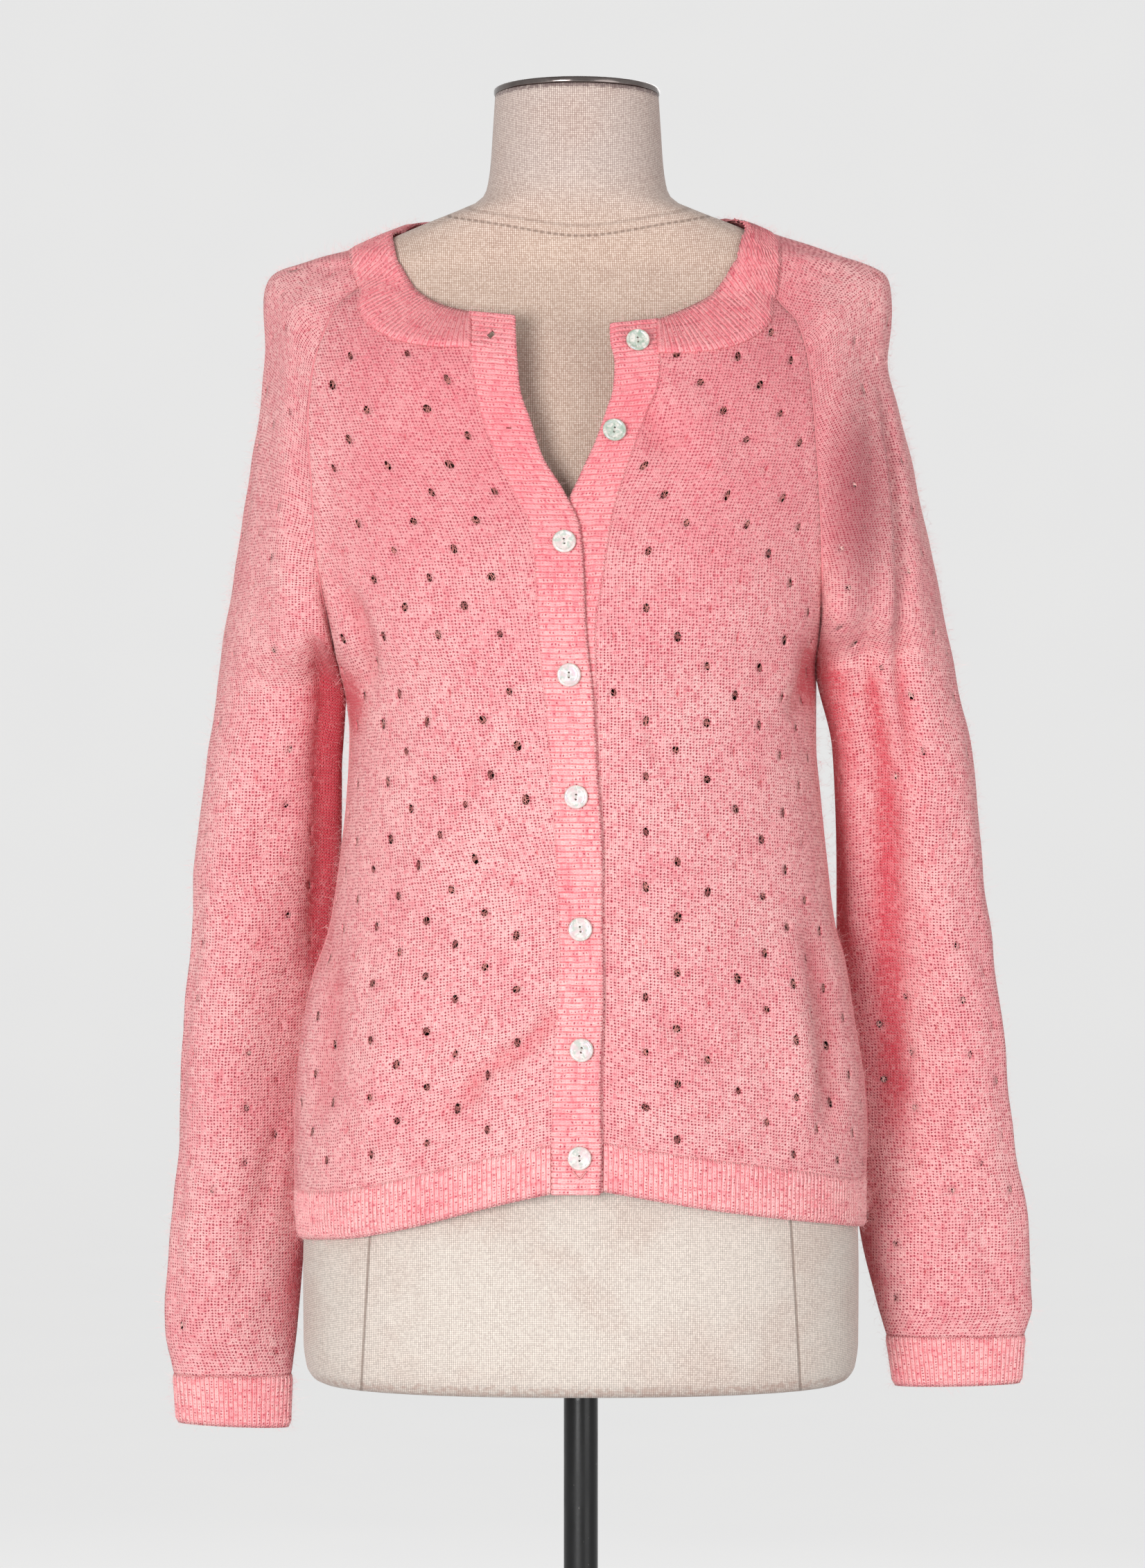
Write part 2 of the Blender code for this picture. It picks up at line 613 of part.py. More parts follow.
def arc_ring(seam_front, front, outer, back, seam_back, columns, shut):
    """Points around a sleeve, through its five guide points, with tangents that make the ring
    an oval. shut is 1 where both seams are one point and 0 where the ring is open at the neck."""
    guide = [seam_front, front, outer, back, seam_back]
    tangents = [(guide[i + 1] - guide[i - 1]) * RING_TANGENT for i in (1, 2, 3)]
    loop = (front - back) * RING_TANGENT
    first = loop * shut + (front - seam_front) * OPEN_TANGENT * (1 - shut)
    final = loop * shut + (seam_back - back) * OPEN_TANGENT * (1 - shut)
    slopes = [first, *tangents, final]
    points = []
    for at in np.linspace(0, 4, columns + 1):
        i = min(int(at), 3)
        t = at - i
        start = (1 + 2 * t) * (1 - t) ** 2 * guide[i] + t * (1 - t) ** 2 * slopes[i]
        end = t * t * (3 - 2 * t) * guide[i + 1] + t * t * (t - 1) * slopes[i + 1]
        points.append(start + end)
    return np.array(points)


def tube_ring(side, z, columns):
    """Points around a sleeve at a height below the underarm; the last point repeats the first."""
    inner_x, inner_y, outer_x, outer_y, front, back = smooth(TUBE[side], z)
    inner, outer = np.array([inner_x, inner_y, z]), np.array([outer_x, outer_y, z])
    middle = (inner + outer) / 2
    ahead, behind = middle - [0, front, 0], middle + [0, back, 0]
    return arc_ring(inner, ahead, outer, behind, inner, columns, 1.0)


def yoke_ring(side, climb, columns):
    """Points over the shoulder from the front raglan seam to the back one."""
    z_front = UNDERARM[side] + (RAGLAN_TOP[side] - UNDERARM[side]) * climb
    z_back = UNDERARM[side] + (BACK_TOP[side] - UNDERARM[side]) * climb
    front_seam = np.array([*smooth(SIDE[side], z_front)[:2], z_front])
    back_seam = np.array([*smooth(SIDE[side], z_back)[2:], z_back])
    x, y, z, ahead, behind = smooth(SHOULDER[side], climb)
    ridge = np.array([x, y, z])
    aside, behind_less, upward = BULGE_TURN
    way = np.array([seam_sign(side) * aside * climb, -1 + behind_less * climb, upward * climb**2])
    front = (front_seam + ridge) / 2 + way * ahead
    back = (back_seam + ridge) / 2 + way * [1, -1, 1] * behind
    return arc_ring(front_seam, front, ridge, back, back_seam, columns, float(1 - ease(climb / OPEN_CLIMB)))


def fold_depth(side, surface):
    """How far the long folds push the sleeve's surface in, for its grid of points."""
    around = np.linspace(0, 1, surface.shape[1])[None, :]
    z = surface[..., 2]
    depth = np.zeros(surface.shape[:2])
    for top, bottom, high, low, width, push in SLEEVE_FOLDS[side]:
        down = (high - z) / (high - low)
        place = top + (bottom - top) * down
        fade = ease(down / FOLD_FADE) * ease((1 - down) / FOLD_FADE)
        depth += push * fade * np.exp(-(((around - place) / width) ** 2))
    return depth


def sleeve_grid(side):
    """Outer points and normals of a sleeve from the cuff to the neckband, its folds pressed in.
    Below the underarm the first and the last column are the same."""
    low = TUBE[side][1][0]
    heights = low + (UNDERARM[side] - low) * np.linspace(0, 1, SLEEVE_ROWS + 1)
    tube = [tube_ring(side, z, ROUND_SLEEVE) for z in heights[:-1]]
    yoke = [yoke_ring(side, climb, ROUND_SLEEVE) for climb in YOKE_STEPS]
    grid = np.array(tube + yoke)
    middle = grid.mean(axis=1, keepdims=True)[..., :2]
    normals = facing_out(grid, grid_normals(grid, False), middle)
    rings = grid[: SLEEVE_ROWS + 1, :-1]
    loop = facing_out(rings, grid_normals(rings, True), middle[: SLEEVE_ROWS + 1])
    normals[:SLEEVE_ROWS, :-1] = loop[:SLEEVE_ROWS]
    normals[:SLEEVE_ROWS, -1] = loop[:SLEEVE_ROWS, 0]
    return grid - normals * fold_depth(side, grid)[..., None], normals


def ribs(count):
    """Relief of a strip: every second point stands out."""
    return np.where(np.arange(count) % 2 == 1, RIB, 0.0)


def path_length(points):
    """Length along a path of points."""
    return float(np.linalg.norm(np.diff(points, axis=0), axis=1).sum())


def resampled(points, count):
    """The path of points, read at even steps."""
    steps = np.concatenate([[0], np.cumsum(np.linalg.norm(np.diff(points, axis=0), axis=1))])
    at = np.linspace(0, steps[-1], count)
    return np.stack([np.interp(at, steps, points[:, k]) for k in range(3)], axis=-1)


def strip_count(length, pitch):
    """An odd number of points, so that a strip begins and ends between ribs."""
    return 2 * max(2, round(length / pitch)) + 1


PINK = (0.83, 0.28, 0.30)
RIB_PINK = (0.86, 0.31, 0.33)
KNIT = (PINK, 0.9)
RIBBED = (RIB_PINK, 0.9)
LINEN = ((0.52, 0.43, 0.35), 0.85)
STEEL = ((0.60, 0.60, 0.61), 0.25, 1.0)
BLACK = ((0.015, 0.015, 0.016), 0.45)
PEARL = ((0.66, 0.74, 0.69), 0.2)


def cloth_grids():
    """Outer points and normals of every panel; along a raglan seam both pieces share one normal."""
    grids = {f"front_{side}": front_grid(side) for side in ("right", "left")}
    grids["back"] = back_grid()
    for side in ("right", "left"):
        grids[f"sleeve_{side}"] = sleeve_grid(side)
    for name, (points, normals) in grids.items():
        grids[name] = clear_of_form(points, WALL + FORM_CLEAR), normals
    for side in ("right", "left"):
        sleeve = grids[f"sleeve_{side}"][1][SLEEVE_ROWS + 1 :]
        front = grids[f"front_{side}"][1][ROWS_LOW + 1 :]
        back = grids["back"][1][ROWS_LOW + 1 :]
        for panel, column, edge in ((front, -1, 0), (back, 0 if side == "right" else -1, -1)):
            both = panel[:, column] + sleeve[:, edge]
            both = both / np.linalg.norm(both, axis=-1, keepdims=True)
            panel[:, column] = both
            sleeve[:, edge] = both
    return grids


def make_panels(grids, collection):
    """The two fronts and the back."""
    for name in ("front_right", "front_left", "back"):
        points, normals = grids[name]
        cloth = inset(points, ("bottom", "top", "first", "last"))
        wall(name, cloth, normals, WALL, KNIT, collection)


def make_sleeves(grids, collection):
    """Each sleeve is a closed tube up to the underarm, which opens along the raglan seams above it."""
    for side in ("right", "left"):
        tube_wall(f"sleeve_{side}", *grids[f"sleeve_{side}"], SLEEVE_ROWS, collection)


def tube_wall(name, surface, normals, tube, collection):
    """A wall whose first rows are closed rings and whose last rows are open between the seams."""
    surface = inset(surface, ("bottom", "top"))
    open_part = inset(surface[tube:], ("first", "last"), gap=SEAM)
    surface = np.concatenate([surface[:tube], open_part])
    rows, columns = surface.shape[:2]
    inner = surface - normals * WALL
    second = rows * columns
    points = np.concatenate([surface.reshape(-1, 3), inner.reshape(-1, 3)])
    index = np.arange(2 * second)
    for j in range(tube):
        for shift in (0, second):
            index[shift + j * columns + columns - 1] = shift + j * columns
    faces = []
    for j in range(rows - 1):
        for i in range(columns - 1):
            a, b = j * columns + i, (j + 1) * columns + i
            faces.append((a, a + 1, b + 1, b))
            faces.append((second + a, second + b, second + b + 1, second + a + 1))
    top = (rows - 1) * columns
    for i in range(columns - 1):
        faces.append((i, second + i, second + i + 1, i + 1))
        faces.append((top + i, top + i + 1, second + top + i + 1, second + top + i))
    last = columns - 1
    for j in range(tube - 1, rows - 1):
        a, b = j * columns, (j + 1) * columns
        faces.append((a, b, second + b, second + a))
        faces.append((a + last, second + a + last, second + b + last, b + last))
    shut = [tuple(dict.fromkeys(int(index[v]) for v in face)) for face in faces]
    shut = [face for face in shut if len(face) > 2]
    used = sorted({v for face in shut for v in face})
    place = {v: n for n, v in enumerate(used)}
    shut = [tuple(place[v] for v in face) for face in shut]
    add(name, mesh_of(name, points[used].tolist(), shut), KNIT, collection)


def make_cuff(side, collection):
    """A ribbed cuff below its sleeve."""
    low, high = TUBE[side][0][0], TUBE[side][1][0]
    count = strip_count(path_length(tube_ring(side, high, FINE)), RIB_PITCH_HEM) - 1
    rings = []
    for z in (low, high - SEAM):
        ring = tube_ring(side, z, FINE)
        rings.append(resampled(ring, count + 1)[:-1])
    grid = np.array(rings)
    middle = grid.mean(axis=1, keepdims=True)[..., :2]
    normals = facing_out(grid, grid_normals(grid, True), middle)
    wall(f"cuff_{side}", grid, normals, WALL, RIBBED, collection, ribs(count)[None, :], closed=True)


def even_shares(side, face, z, start):
    """Shares from start to the side seam at even steps of about half a rib."""
    fine = np.linspace(start, 1, FINE)
    path = panel_point(side, face, z, fine)
    steps = np.concatenate([[0], np.cumsum(np.linalg.norm(np.diff(path, axis=0), axis=1))])
    count = strip_count(steps[-1], RIB_PITCH_HEM)
    return np.interp(np.linspace(0, steps[-1], count), steps, fine)


def make_hems(collection):
    """Ribbed hems of the fronts and the back."""
    for side in ("right", "left"):
        pick = float(share_at(side, PICK_UP_LOW, smooth(BAND[side], PICK_UP_LOW)[0]))
        share = even_shares(side, "front", PICK_UP_LOW, pick)
        low = hem_height(side, "front", share)
        z = np.array([low, low + HEM_HEIGHT])
        shares = np.array([share, share])
        grid = clear_of_form(panel_point(side, "front", z, shares), RIB_WALL + FORM_CLEAR)
        grid = inset(grid, ("top", "first", "last"))
        normals = panel_normals(side, "front", z, shares)
        relief = ribs(len(share))[None, :]
        wall(f"hem_front_{side}", grid, normals, RIB_WALL, RIBBED, collection, relief)
    right, left = (even_shares(side, "back", BACK_HEM, 0.0) for side in ("right", "left"))
    across = np.concatenate([-right[::-1], left[1:]])
    shares = np.abs(np.array([across, across]))
    low = np.where(across < 0, *(hem_height(side, "back", shares[0]) for side in ("right", "left")))
    z = np.array([low, low + HEM_HEIGHT])
    is_right = (across < 0)[None, :, None]
    points = [panel_point(side, "back", z, shares) for side in ("right", "left")]
    normals = [panel_normals(side, "back", z, shares) for side in ("right", "left")]
    grid = clear_of_form(np.where(is_right, *points), RIB_WALL + FORM_CLEAR)
    grid = inset(grid, ("top", "first", "last"))
    normals = np.where(is_right, *normals)
    wall("hem_back", grid, normals, RIB_WALL, RIBBED, collection, ribs(len(across))[None, :])


def pick_up_path(side, grids):
    """The line along which a band joins its hem, its front and the end of the neckband."""
    points = grids[f"front_{side}"][0][: neck_turn_row() + 1, 0]
    start = float(share_at(side, PICK_UP_LOW, smooth(BAND[side], PICK_UP_LOW)[0]))
    low = float(hem_height(side, "front", start))
    hem = panel_point(side, "front", np.array([low, low + HEM_HEIGHT - SEAM]), np.array([start, start]))
    upper = smooth(NECK_INNER, 0.0 if side == "right" else 1.0)
    return np.array([*hem, *points, (points[-1] + upper) / 2, upper])


def neck_turn_row():
    """The row at which a front's inner border turns from the band to the neckband."""
    return ROWS_LOW + YOKE_STEPS.index(NECK_TURN)


def band_grid(side, grids):
    """Outer points of a front band, rows from its lower end up, columns from the front to the free edge."""
    path = pick_up_path(side, grids)
    count = strip_count(path_length(path), RIB_PITCH_BAND)
    lift = LAP if side == "right" else 0.0
    rows = []
    for t in np.linspace(0, 1, count):
        z = path[0, 2] + (path[-1, 2] - path[0, 2]) * t
        joined = np.array([np.interp(z, path[:, 2], path[:, 0]), np.interp(z, path[:, 2], path[:, 1]), z])
        edge_z = z - BAND_DROP * t**BAND_DROP_BEND
        edge_x = smooth(BAND[side], edge_z)[1]
        rows.append([joined, lapped(front_point(side, edge_z, edge_x), lift)])
    return np.array(rows)


def make_band(side, grid, collection):
    """A ribbed front band; its ribs run from the front to the free edge."""
    count = len(grid)
    normals = grid_normals(grid, False)
    normals = normals if normals[..., 1].sum() < 0 else -normals
    grid = inset(grid, ("first",), gap=SEAM)
    return wall(f"band_{side}", grid, normals, RIB_WALL, RIBBED, collection, ribs(count)[:, None])


def make_neckband(grids, collection):
    """A ribbed strip from the panels' neck edges up to the neck opening."""
    turn = neck_turn_row()
    edges = {name: grid[0][-1] for name, grid in grids.items()}
    right = grids["front_right"][0][turn:, 0]
    left = grids["front_left"][0][turn:, 0]
    chain = np.concatenate(
        [right, edges["sleeve_right"], edges["back"], edges["sleeve_left"][::-1], left[::-1]]
    )
    keep = [0]
    for i in range(1, len(chain)):
        if np.linalg.norm(chain[i] - chain[keep[-1]]) > MERGE_NEAR:
            keep.append(i)
    chain = chain[keep]
    count = strip_count(path_length(chain), RIB_PITCH_BAND)
    outer = resampled(chain, count)
    inner = smooth(NECK_INNER, np.linspace(0, 1, count))
    middle = (outer + inner) / 2
    grid = clear_of_form(np.array([outer, middle, inner]), RIB_WALL + FORM_CLEAR + NECK_CLEAR)
    normals = facing_out(grid, grid_normals(grid, False), 0.0)
    grid = inset(grid, ("first", "last"), gap=SEAM)
    grid = inset(grid, ("bottom",), gap=SEAM + NECK_STEP)
    wall("neckband", grid, normals, RIB_WALL, RIBBED, collection, ribs(count)[None, :])


def form_level(points):
    """Below 0 inside the form, 0 on its surface, above 0 outside, for points at any place."""
    rows = np.array(FORM)
    z = points[..., 2]
    middle, half, front, back, power = (np.interp(z, rows[:, 0], rows[:, k]) for k in range(1, 6))
    x = np.abs(points[..., 0] - middle) / half
    y = np.abs(points[..., 1]) / np.where(points[..., 1] < 0, front, back)
    return (x**power + y**power) ** (1 / power) - 1


def clear_of_form(points, clearance):
    """The points, moved straight out where they are nearer to the form than the clearance."""
    out = points.copy()
    for _ in range(CLEAR_PASSES):
        level = form_level(out)
        slope = np.stack(
            [form_level(out + way) - form_level(out - way) for way in np.eye(3) * CLEAR_STEP], axis=-1
        ) / (2 * CLEAR_STEP)
        size = np.linalg.norm(slope, axis=-1)
        short = np.maximum(clearance - level / size, 0)
        out = out + slope / size[..., None] * short[..., None]
    return out


def make_form(collection):
    """The torso with its neck: a loft of rings."""
    turn = np.linspace(0, 2 * math.pi, FORM_COLUMNS, endpoint=False)
    cos, sin = np.cos(turn), np.sin(turn)
    points = []
    for z, middle, half, front, back, power in FORM:
        x = middle + half * np.sign(cos) * np.abs(cos) ** (2 / power)
        depth = np.where(sin < 0, front, back)
        y = depth * np.sign(sin) * np.abs(sin) ** (2 / power)
        points.append(np.stack([x, y, np.full_like(x, z)], axis=-1))
    points = np.array(points)
    count, columns = points.shape[:2]
    faces = []
    for j in range(count - 1):
        for i in range(columns):
            k = (i + 1) % columns
            faces.append((j * columns + i, j * columns + k, (j + 1) * columns + k, (j + 1) * columns + i))
    faces.append(tuple(range(columns)))
    faces.append(tuple((count - 1) * columns + i for i in range(columns)))
    add("form_torso", mesh_of("form_torso", points.reshape(-1, 3).tolist(), faces), LINEN, collection)


def make_disc(name, radius, thickness, place, look, collection, sides=48, edge=0.0):
    """A round plate that stands at a place, with an optional small bevel."""
    mesh = bpy.data.meshes.new(name)
    work = bmesh.new()
    bmesh.ops.create_cone(
        work, cap_ends=True, segments=sides, radius1=radius, radius2=radius, depth=thickness
    )
    work.to_mesh(mesh)
    work.free()
    made = add(name, mesh, look, collection)
    made.location = (place[0], place[1], place[2] + thickness / 2)
    if edge:
        bevel = made.modifiers.new("edge", "BEVEL")
        bevel.width = edge
        bevel.segments = 1
        bevel.limit_method = "ANGLE"
    return made


def make_stand(collection):
    """The neck cap, the pole and the round base."""
    top = FORM[-1][0] + SEAM
    make_disc("form_neck_cap", CAP_RADIUS, CAP_THICKNESS, (FORM[-1][1], 0, top), STEEL, collection)
    length = FORM[0][0] - BASE_THICKNESS - 2 * SEAM
    make_disc("form_pole", POLE_RADIUS, length, (0, 0, BASE_THICKNESS + SEAM), BLACK, collection, 24)
    make_disc(
        "form_base", BASE_RADIUS, BASE_THICKNESS, (0, 0, 0), BLACK, collection, sides=48, edge=BASE_EDGE
    )


def button_mesh(cutters):
    """A dished disc with two holes, in its own frame: +Z is its face, the holes one above the other."""
    half = BUTTON_THICKNESS / 2
    rim = BUTTON_RADIUS
    profile = [
        (0.0, half - BUTTON_SINK),
        (rim * BUTTON_DISH, half - BUTTON_SINK),
        (rim * BUTTON_RIDGE, half),
        (rim, half - BUTTON_LIP),
        (rim * BUTTON_UNDER, -half),
        (0.0, -half),
    ]
    mesh = bpy.data.meshes.new("button")
    work = bmesh.new()
    line = [work.verts.new((x, 0, z)) for x, z in profile]
    for a, b in zip(line, line[1:]):
        work.edges.new((a, b))
    work.to_mesh(mesh)
    work.free()
    blank = bpy.data.objects.new("button blank", mesh)
    cutters.objects.link(blank)
    screw = blank.modifiers.new("turn", "SCREW")
    screw.steps = 18
    screw.render_steps = 18
    screw.use_merge_vertices = True
    screw.merge_threshold = 0.00001
    screw.use_normal_calculate = True
    for sign in (-1, 1):
        tool = bpy.data.meshes.new("button hole")
        work = bmesh.new()
        bmesh.ops.create_cone(
            work, cap_ends=True, segments=6, radius1=BUTTON_HOLE, radius2=BUTTON_HOLE, depth=0.01
        )
        bmesh.ops.translate(work, vec=(0, sign * BUTTON_HOLE_PITCH / 2, 0), verts=work.verts)
        work.to_mesh(tool)
        work.free()
        cutter = as_cutter(f"button hole {sign}", tool, cutters)
        cut = blank.modifiers.new("hole", "BOOLEAN")
        cut.object = cutter
        cut.solver = "EXACT"
    as_guide(blank)
    bpy.context.view_layer.update()
    shaped = bpy.data.meshes.new_from_object(blank.evaluated_get(bpy.context.evaluated_depsgraph_get()))
    return shaped


def as_guide(thing):
    """A helper that isn't part of the object."""
    thing.hide_render = True
    thing.display_type = "WIRE"
    return thing


def as_cutter(name, mesh, cutters):
    """A cutter, shown as a wire."""
    made = bpy.data.objects.new(name, mesh)
    cutters.objects.link(made)
    return as_guide(made)


def across_band(grid, z):
    """The two ends of a band's row at height z."""
    columns = (grid[:, k] for k in (0, 1))
    return [np.array([np.interp(z, line[:, 2], line[:, j]) for j in range(3)]) for line in columns]


def band_frame(grid, x, z, forward):
    """Place and facing of a band's surface at x and z; forward moves it out along the facing."""
    pick, edge = across_band(grid, z)
    above, _ = across_band(grid, z + BUTTON_RADIUS)
    share = (x - pick[0]) / (edge[0] - pick[0])
    here = Vector(pick + (edge - pick) * share)
    face = Vector(np.cross(edge - pick, above - pick)).normalized()
    face = face if face.y < 0 else -face
    upward = face.cross(Vector((1, 0, 0))).normalized()
    upward = upward if upward.z > 0 else -upward
    across = upward.cross(face).normalized()
    turned = Matrix((across, upward, face)).transposed().to_4x4()
    return Matrix.Translation(here + face * forward) @ turned


def make_buttons(bands, collection, cutters):
    """Eight buttons; the closed ones lie on the lapping band, the open ones on the button band."""
    shaped = button_mesh(cutters)
    for number, (x, z, closed) in enumerate(BUTTONS, 1):
        forward = RIB + SEAM + BUTTON_THICKNESS / 2
        made = add(f"button_{number}", shaped.copy(), PEARL, collection)
        made.matrix_world = band_frame(bands["right" if closed else "left"], x, z, forward)


def cut_buttonholes(band, grid, cutters):
    """The two open buttonholes, cut through the lapping band."""
    for number, (x, z) in enumerate(BUTTONHOLES, 1):
        tool = bpy.data.meshes.new("buttonhole")
        work = bmesh.new()
        bmesh.ops.create_cone(work, cap_ends=True, segments=10, radius1=0.5, radius2=0.5, depth=0.02)
        bmesh.ops.scale(work, vec=(*BUTTONHOLE_SIZE, 1.0), verts=work.verts)
        work.to_mesh(tool)
        work.free()
        cutter = as_cutter(f"buttonhole {number}", tool, cutters)
        cutter.matrix_world = band_frame(grid, x, z, 0.0)
        cut = band.modifiers.new("buttonhole", "BOOLEAN")
        cut.object = cutter
        cut.solver = "EXACT"


def main():
    for old in list(bpy.data.objects):
        bpy.data.objects.remove(old)
    collection = bpy.data.collections.new(COLLECTION)
    cutters = bpy.data.collections.new("cutters")
    bpy.context.scene.collection.children.link(collection)
    bpy.context.scene.collection.children.link(cutters)
    grids = cloth_grids()
    make_panels(grids, collection)
    make_sleeves(grids, collection)
    for side in ("right", "left"):
        make_cuff(side, collection)
    make_hems(collection)
    bands = {side: band_grid(side, grids) for side in ("right", "left")}
    lapping = make_band("right", bands["right"], collection)
    make_band("left", bands["left"], collection)
    cut_buttonholes(lapping, bands["right"], cutters)
    make_neckband(grids, collection)
    make_form(collection)
    make_stand(collection)
    make_buttons(bands, collection, cutters)


main()
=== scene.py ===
# Knitted raglan cardigan on a limbless linen dress form with a pole and a round base.
# Metres, +Z up; "right" and "left" are the wearer's sides, so right is at -X.
import math

import bmesh
import bpy
import numpy as np
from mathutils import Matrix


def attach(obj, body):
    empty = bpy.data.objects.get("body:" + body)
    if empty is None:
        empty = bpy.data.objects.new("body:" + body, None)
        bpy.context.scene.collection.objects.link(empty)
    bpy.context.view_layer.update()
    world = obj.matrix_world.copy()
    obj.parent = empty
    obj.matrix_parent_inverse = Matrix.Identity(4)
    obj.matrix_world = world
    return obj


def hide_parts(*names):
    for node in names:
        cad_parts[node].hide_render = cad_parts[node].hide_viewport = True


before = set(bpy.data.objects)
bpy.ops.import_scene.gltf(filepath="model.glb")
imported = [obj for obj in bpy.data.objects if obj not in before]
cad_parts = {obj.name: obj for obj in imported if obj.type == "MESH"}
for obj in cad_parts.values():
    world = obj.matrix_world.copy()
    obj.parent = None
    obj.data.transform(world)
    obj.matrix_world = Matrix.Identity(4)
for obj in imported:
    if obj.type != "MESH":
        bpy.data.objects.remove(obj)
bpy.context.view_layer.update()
scene = bpy.context.scene
draw = np.random.default_rng(11)

# Tables of the cut: the values of the solids, with the armhole seams a little less sunk.

# centre line of the body: height, y of the front, y of the back
centreLine = (
    (0.8, -0.123, 0.1215), (0.86, -0.125, 0.1225), (0.93, -0.1265, 0.116), (1.01, -0.127, 0.106),
    (1.08, -0.128, 0.1), (1.15, -0.131, 0.102), (1.2, -0.132, 0.106), (1.24, -0.128, 0.109),
    (1.28, -0.119, 0.111), (1.32, -0.113, 0.11), (1.36, -0.106, 0.105), (1.39, -0.092, 0.099),
    (1.42, -0.07, 0.0925), (1.45, -0.05, 0.085),
)

# side and raglan seam: height, x and y of the front's edge, x and y of the back's edge
sideSeam = {
    "right": (
        (0.8, -0.1785, 0, -0.1785, 0), (0.82, -0.1791, 0, -0.1791, 0), (0.845, -0.181, 0, -0.181, 0),
        (0.887, -0.1815, 0, -0.1815, 0), (0.938, -0.1782, 0, -0.1782, 0), (0.98, -0.1712, 0, -0.1712, 0),
        (1.016, -0.1593, 0, -0.1593, 0), (1.058, -0.1527, 0, -0.1527, 0), (1.1, -0.148, 0, -0.148, 0),
        (1.139, -0.1462, 0, -0.1462, 0), (1.164, -0.149, 0, -0.149, 0), (1.2, -0.156, -0.05, -0.156, 0.044),
        (1.254, -0.165, -0.066, -0.163, 0.068), (1.292, -0.1674, -0.067, -0.164, 0.076),
        (1.33, -0.17, -0.064, -0.162, 0.079), (1.365, -0.1673, -0.057, -0.157, 0.08),
        (1.385, -0.1619, -0.053, -0.152, 0.078), (1.407, -0.1524, -0.046, -0.144, 0.073),
        (1.42, -0.139, -0.037, -0.138, 0.067), (1.443, -0.126, -0.02, -0.126, 0.054),
    ),
    "left": (
        (0.8, 0.1795, 0, 0.1795, 0), (0.828, 0.18, 0, 0.18, 0), (0.857, 0.1804, 0, 0.1804, 0),
        (0.885, 0.1813, 0, 0.1813, 0), (0.913, 0.18, 0, 0.18, 0), (0.957, 0.1734, 0, 0.1734, 0),
        (0.997, 0.1668, 0, 0.1668, 0), (1.019, 0.1606, 0, 0.1606, 0), (1.066, 0.1549, 0, 0.1549, 0),
        (1.1, 0.1515, 0, 0.1515, 0), (1.134, 0.1487, 0, 0.1487, 0), (1.18, 0.149, 0, 0.149, 0),
        (1.215, 0.15, -0.052, 0.155, 0.046), (1.254, 0.1495, -0.066, 0.16, 0.066),
        (1.292, 0.148, -0.068, 0.161, 0.076), (1.336, 0.1452, -0.066, 0.158, 0.079),
        (1.369, 0.1423, -0.057, 0.152, 0.08), (1.395, 0.136, -0.049, 0.145, 0.076),
        (1.414, 0.1215, -0.04, 0.137, 0.069), (1.447, 0.115, -0.018, 0.118, 0.053),
    ),
}

# button bands: height, x where the band is picked up, x of its free edge
bandLines = {
    "right": (
        (0.855, -0.0135, 0.0118), (0.886, -0.018, 0.0122), (0.944, -0.0165, 0.0126),
        (1.002, -0.013, 0.0137), (1.069, -0.016, 0.0126), (1.142, -0.021, 0.0085), (1.198, -0.026, 0.0038),
        (1.232, -0.0278, 0.0017), (1.262, -0.031, -0.0008), (1.284, -0.0414, -0.0097),
        (1.306, -0.052, -0.023), (1.327, -0.06, -0.0305), (1.349, -0.0654, -0.0375),
        (1.377, -0.0686, -0.0392), (1.405, -0.069, -0.041),
    ),
    "left": (
        (0.855, 0.0132, -0.0135), (0.944, 0.014, -0.0125), (1.002, 0.015, -0.0115), (1.069, 0.014, -0.0125),
        (1.142, 0.0105, -0.016), (1.198, 0.0095, -0.017), (1.233, 0.0143, -0.013), (1.271, 0.0202, -0.0095),
        (1.297, 0.028, 0.0008), (1.316, 0.0345, 0.0089), (1.335, 0.0415, 0.0153), (1.349, 0.0475, 0.0195),
        (1.365, 0.0495, 0.0208), (1.379, 0.0475, 0.0185), (1.405, 0.0475, 0.018),
    ),
}

# hem of the fronts: share of the way to the side seam, height of the lower edge
hemLine = {
    "right": ((0, 0.8605), (0.2, 0.847), (0.4, 0.834), (0.6, 0.825), (0.8, 0.8215), (1, 0.8205)),
    "left": ((0, 0.86), (0.2, 0.8495), (0.4, 0.842), (0.6, 0.835), (0.8, 0.83), (1, 0.8275)),
}

# neck opening from the right band to the left one: share of the way, x, y, z
neckInner = (
    (0, -0.069, -0.071, 1.4002), (0.05, -0.0852, -0.062, 1.4052), (0.1, -0.0995, -0.049, 1.414),
    (0.145, -0.111, -0.032, 1.4292), (0.18, -0.1157, -0.012, 1.4453), (0.21, -0.1134, 0.008, 1.4603),
    (0.28, -0.104, 0.036, 1.47), (0.38, -0.07, 0.06, 1.474), (0.5, -0.008, 0.069, 1.4745),
    (0.62, 0.056, 0.06, 1.474), (0.72, 0.088, 0.036, 1.472), (0.79, 0.0918, 0.008, 1.466),
    (0.83, 0.0985, -0.008, 1.451), (0.865, 0.0955, -0.025, 1.435), (0.9, 0.085, -0.046, 1.4165),
    (0.95, 0.064, -0.065, 1.4025), (1, 0.0478, -0.0735, 1.3952),
)

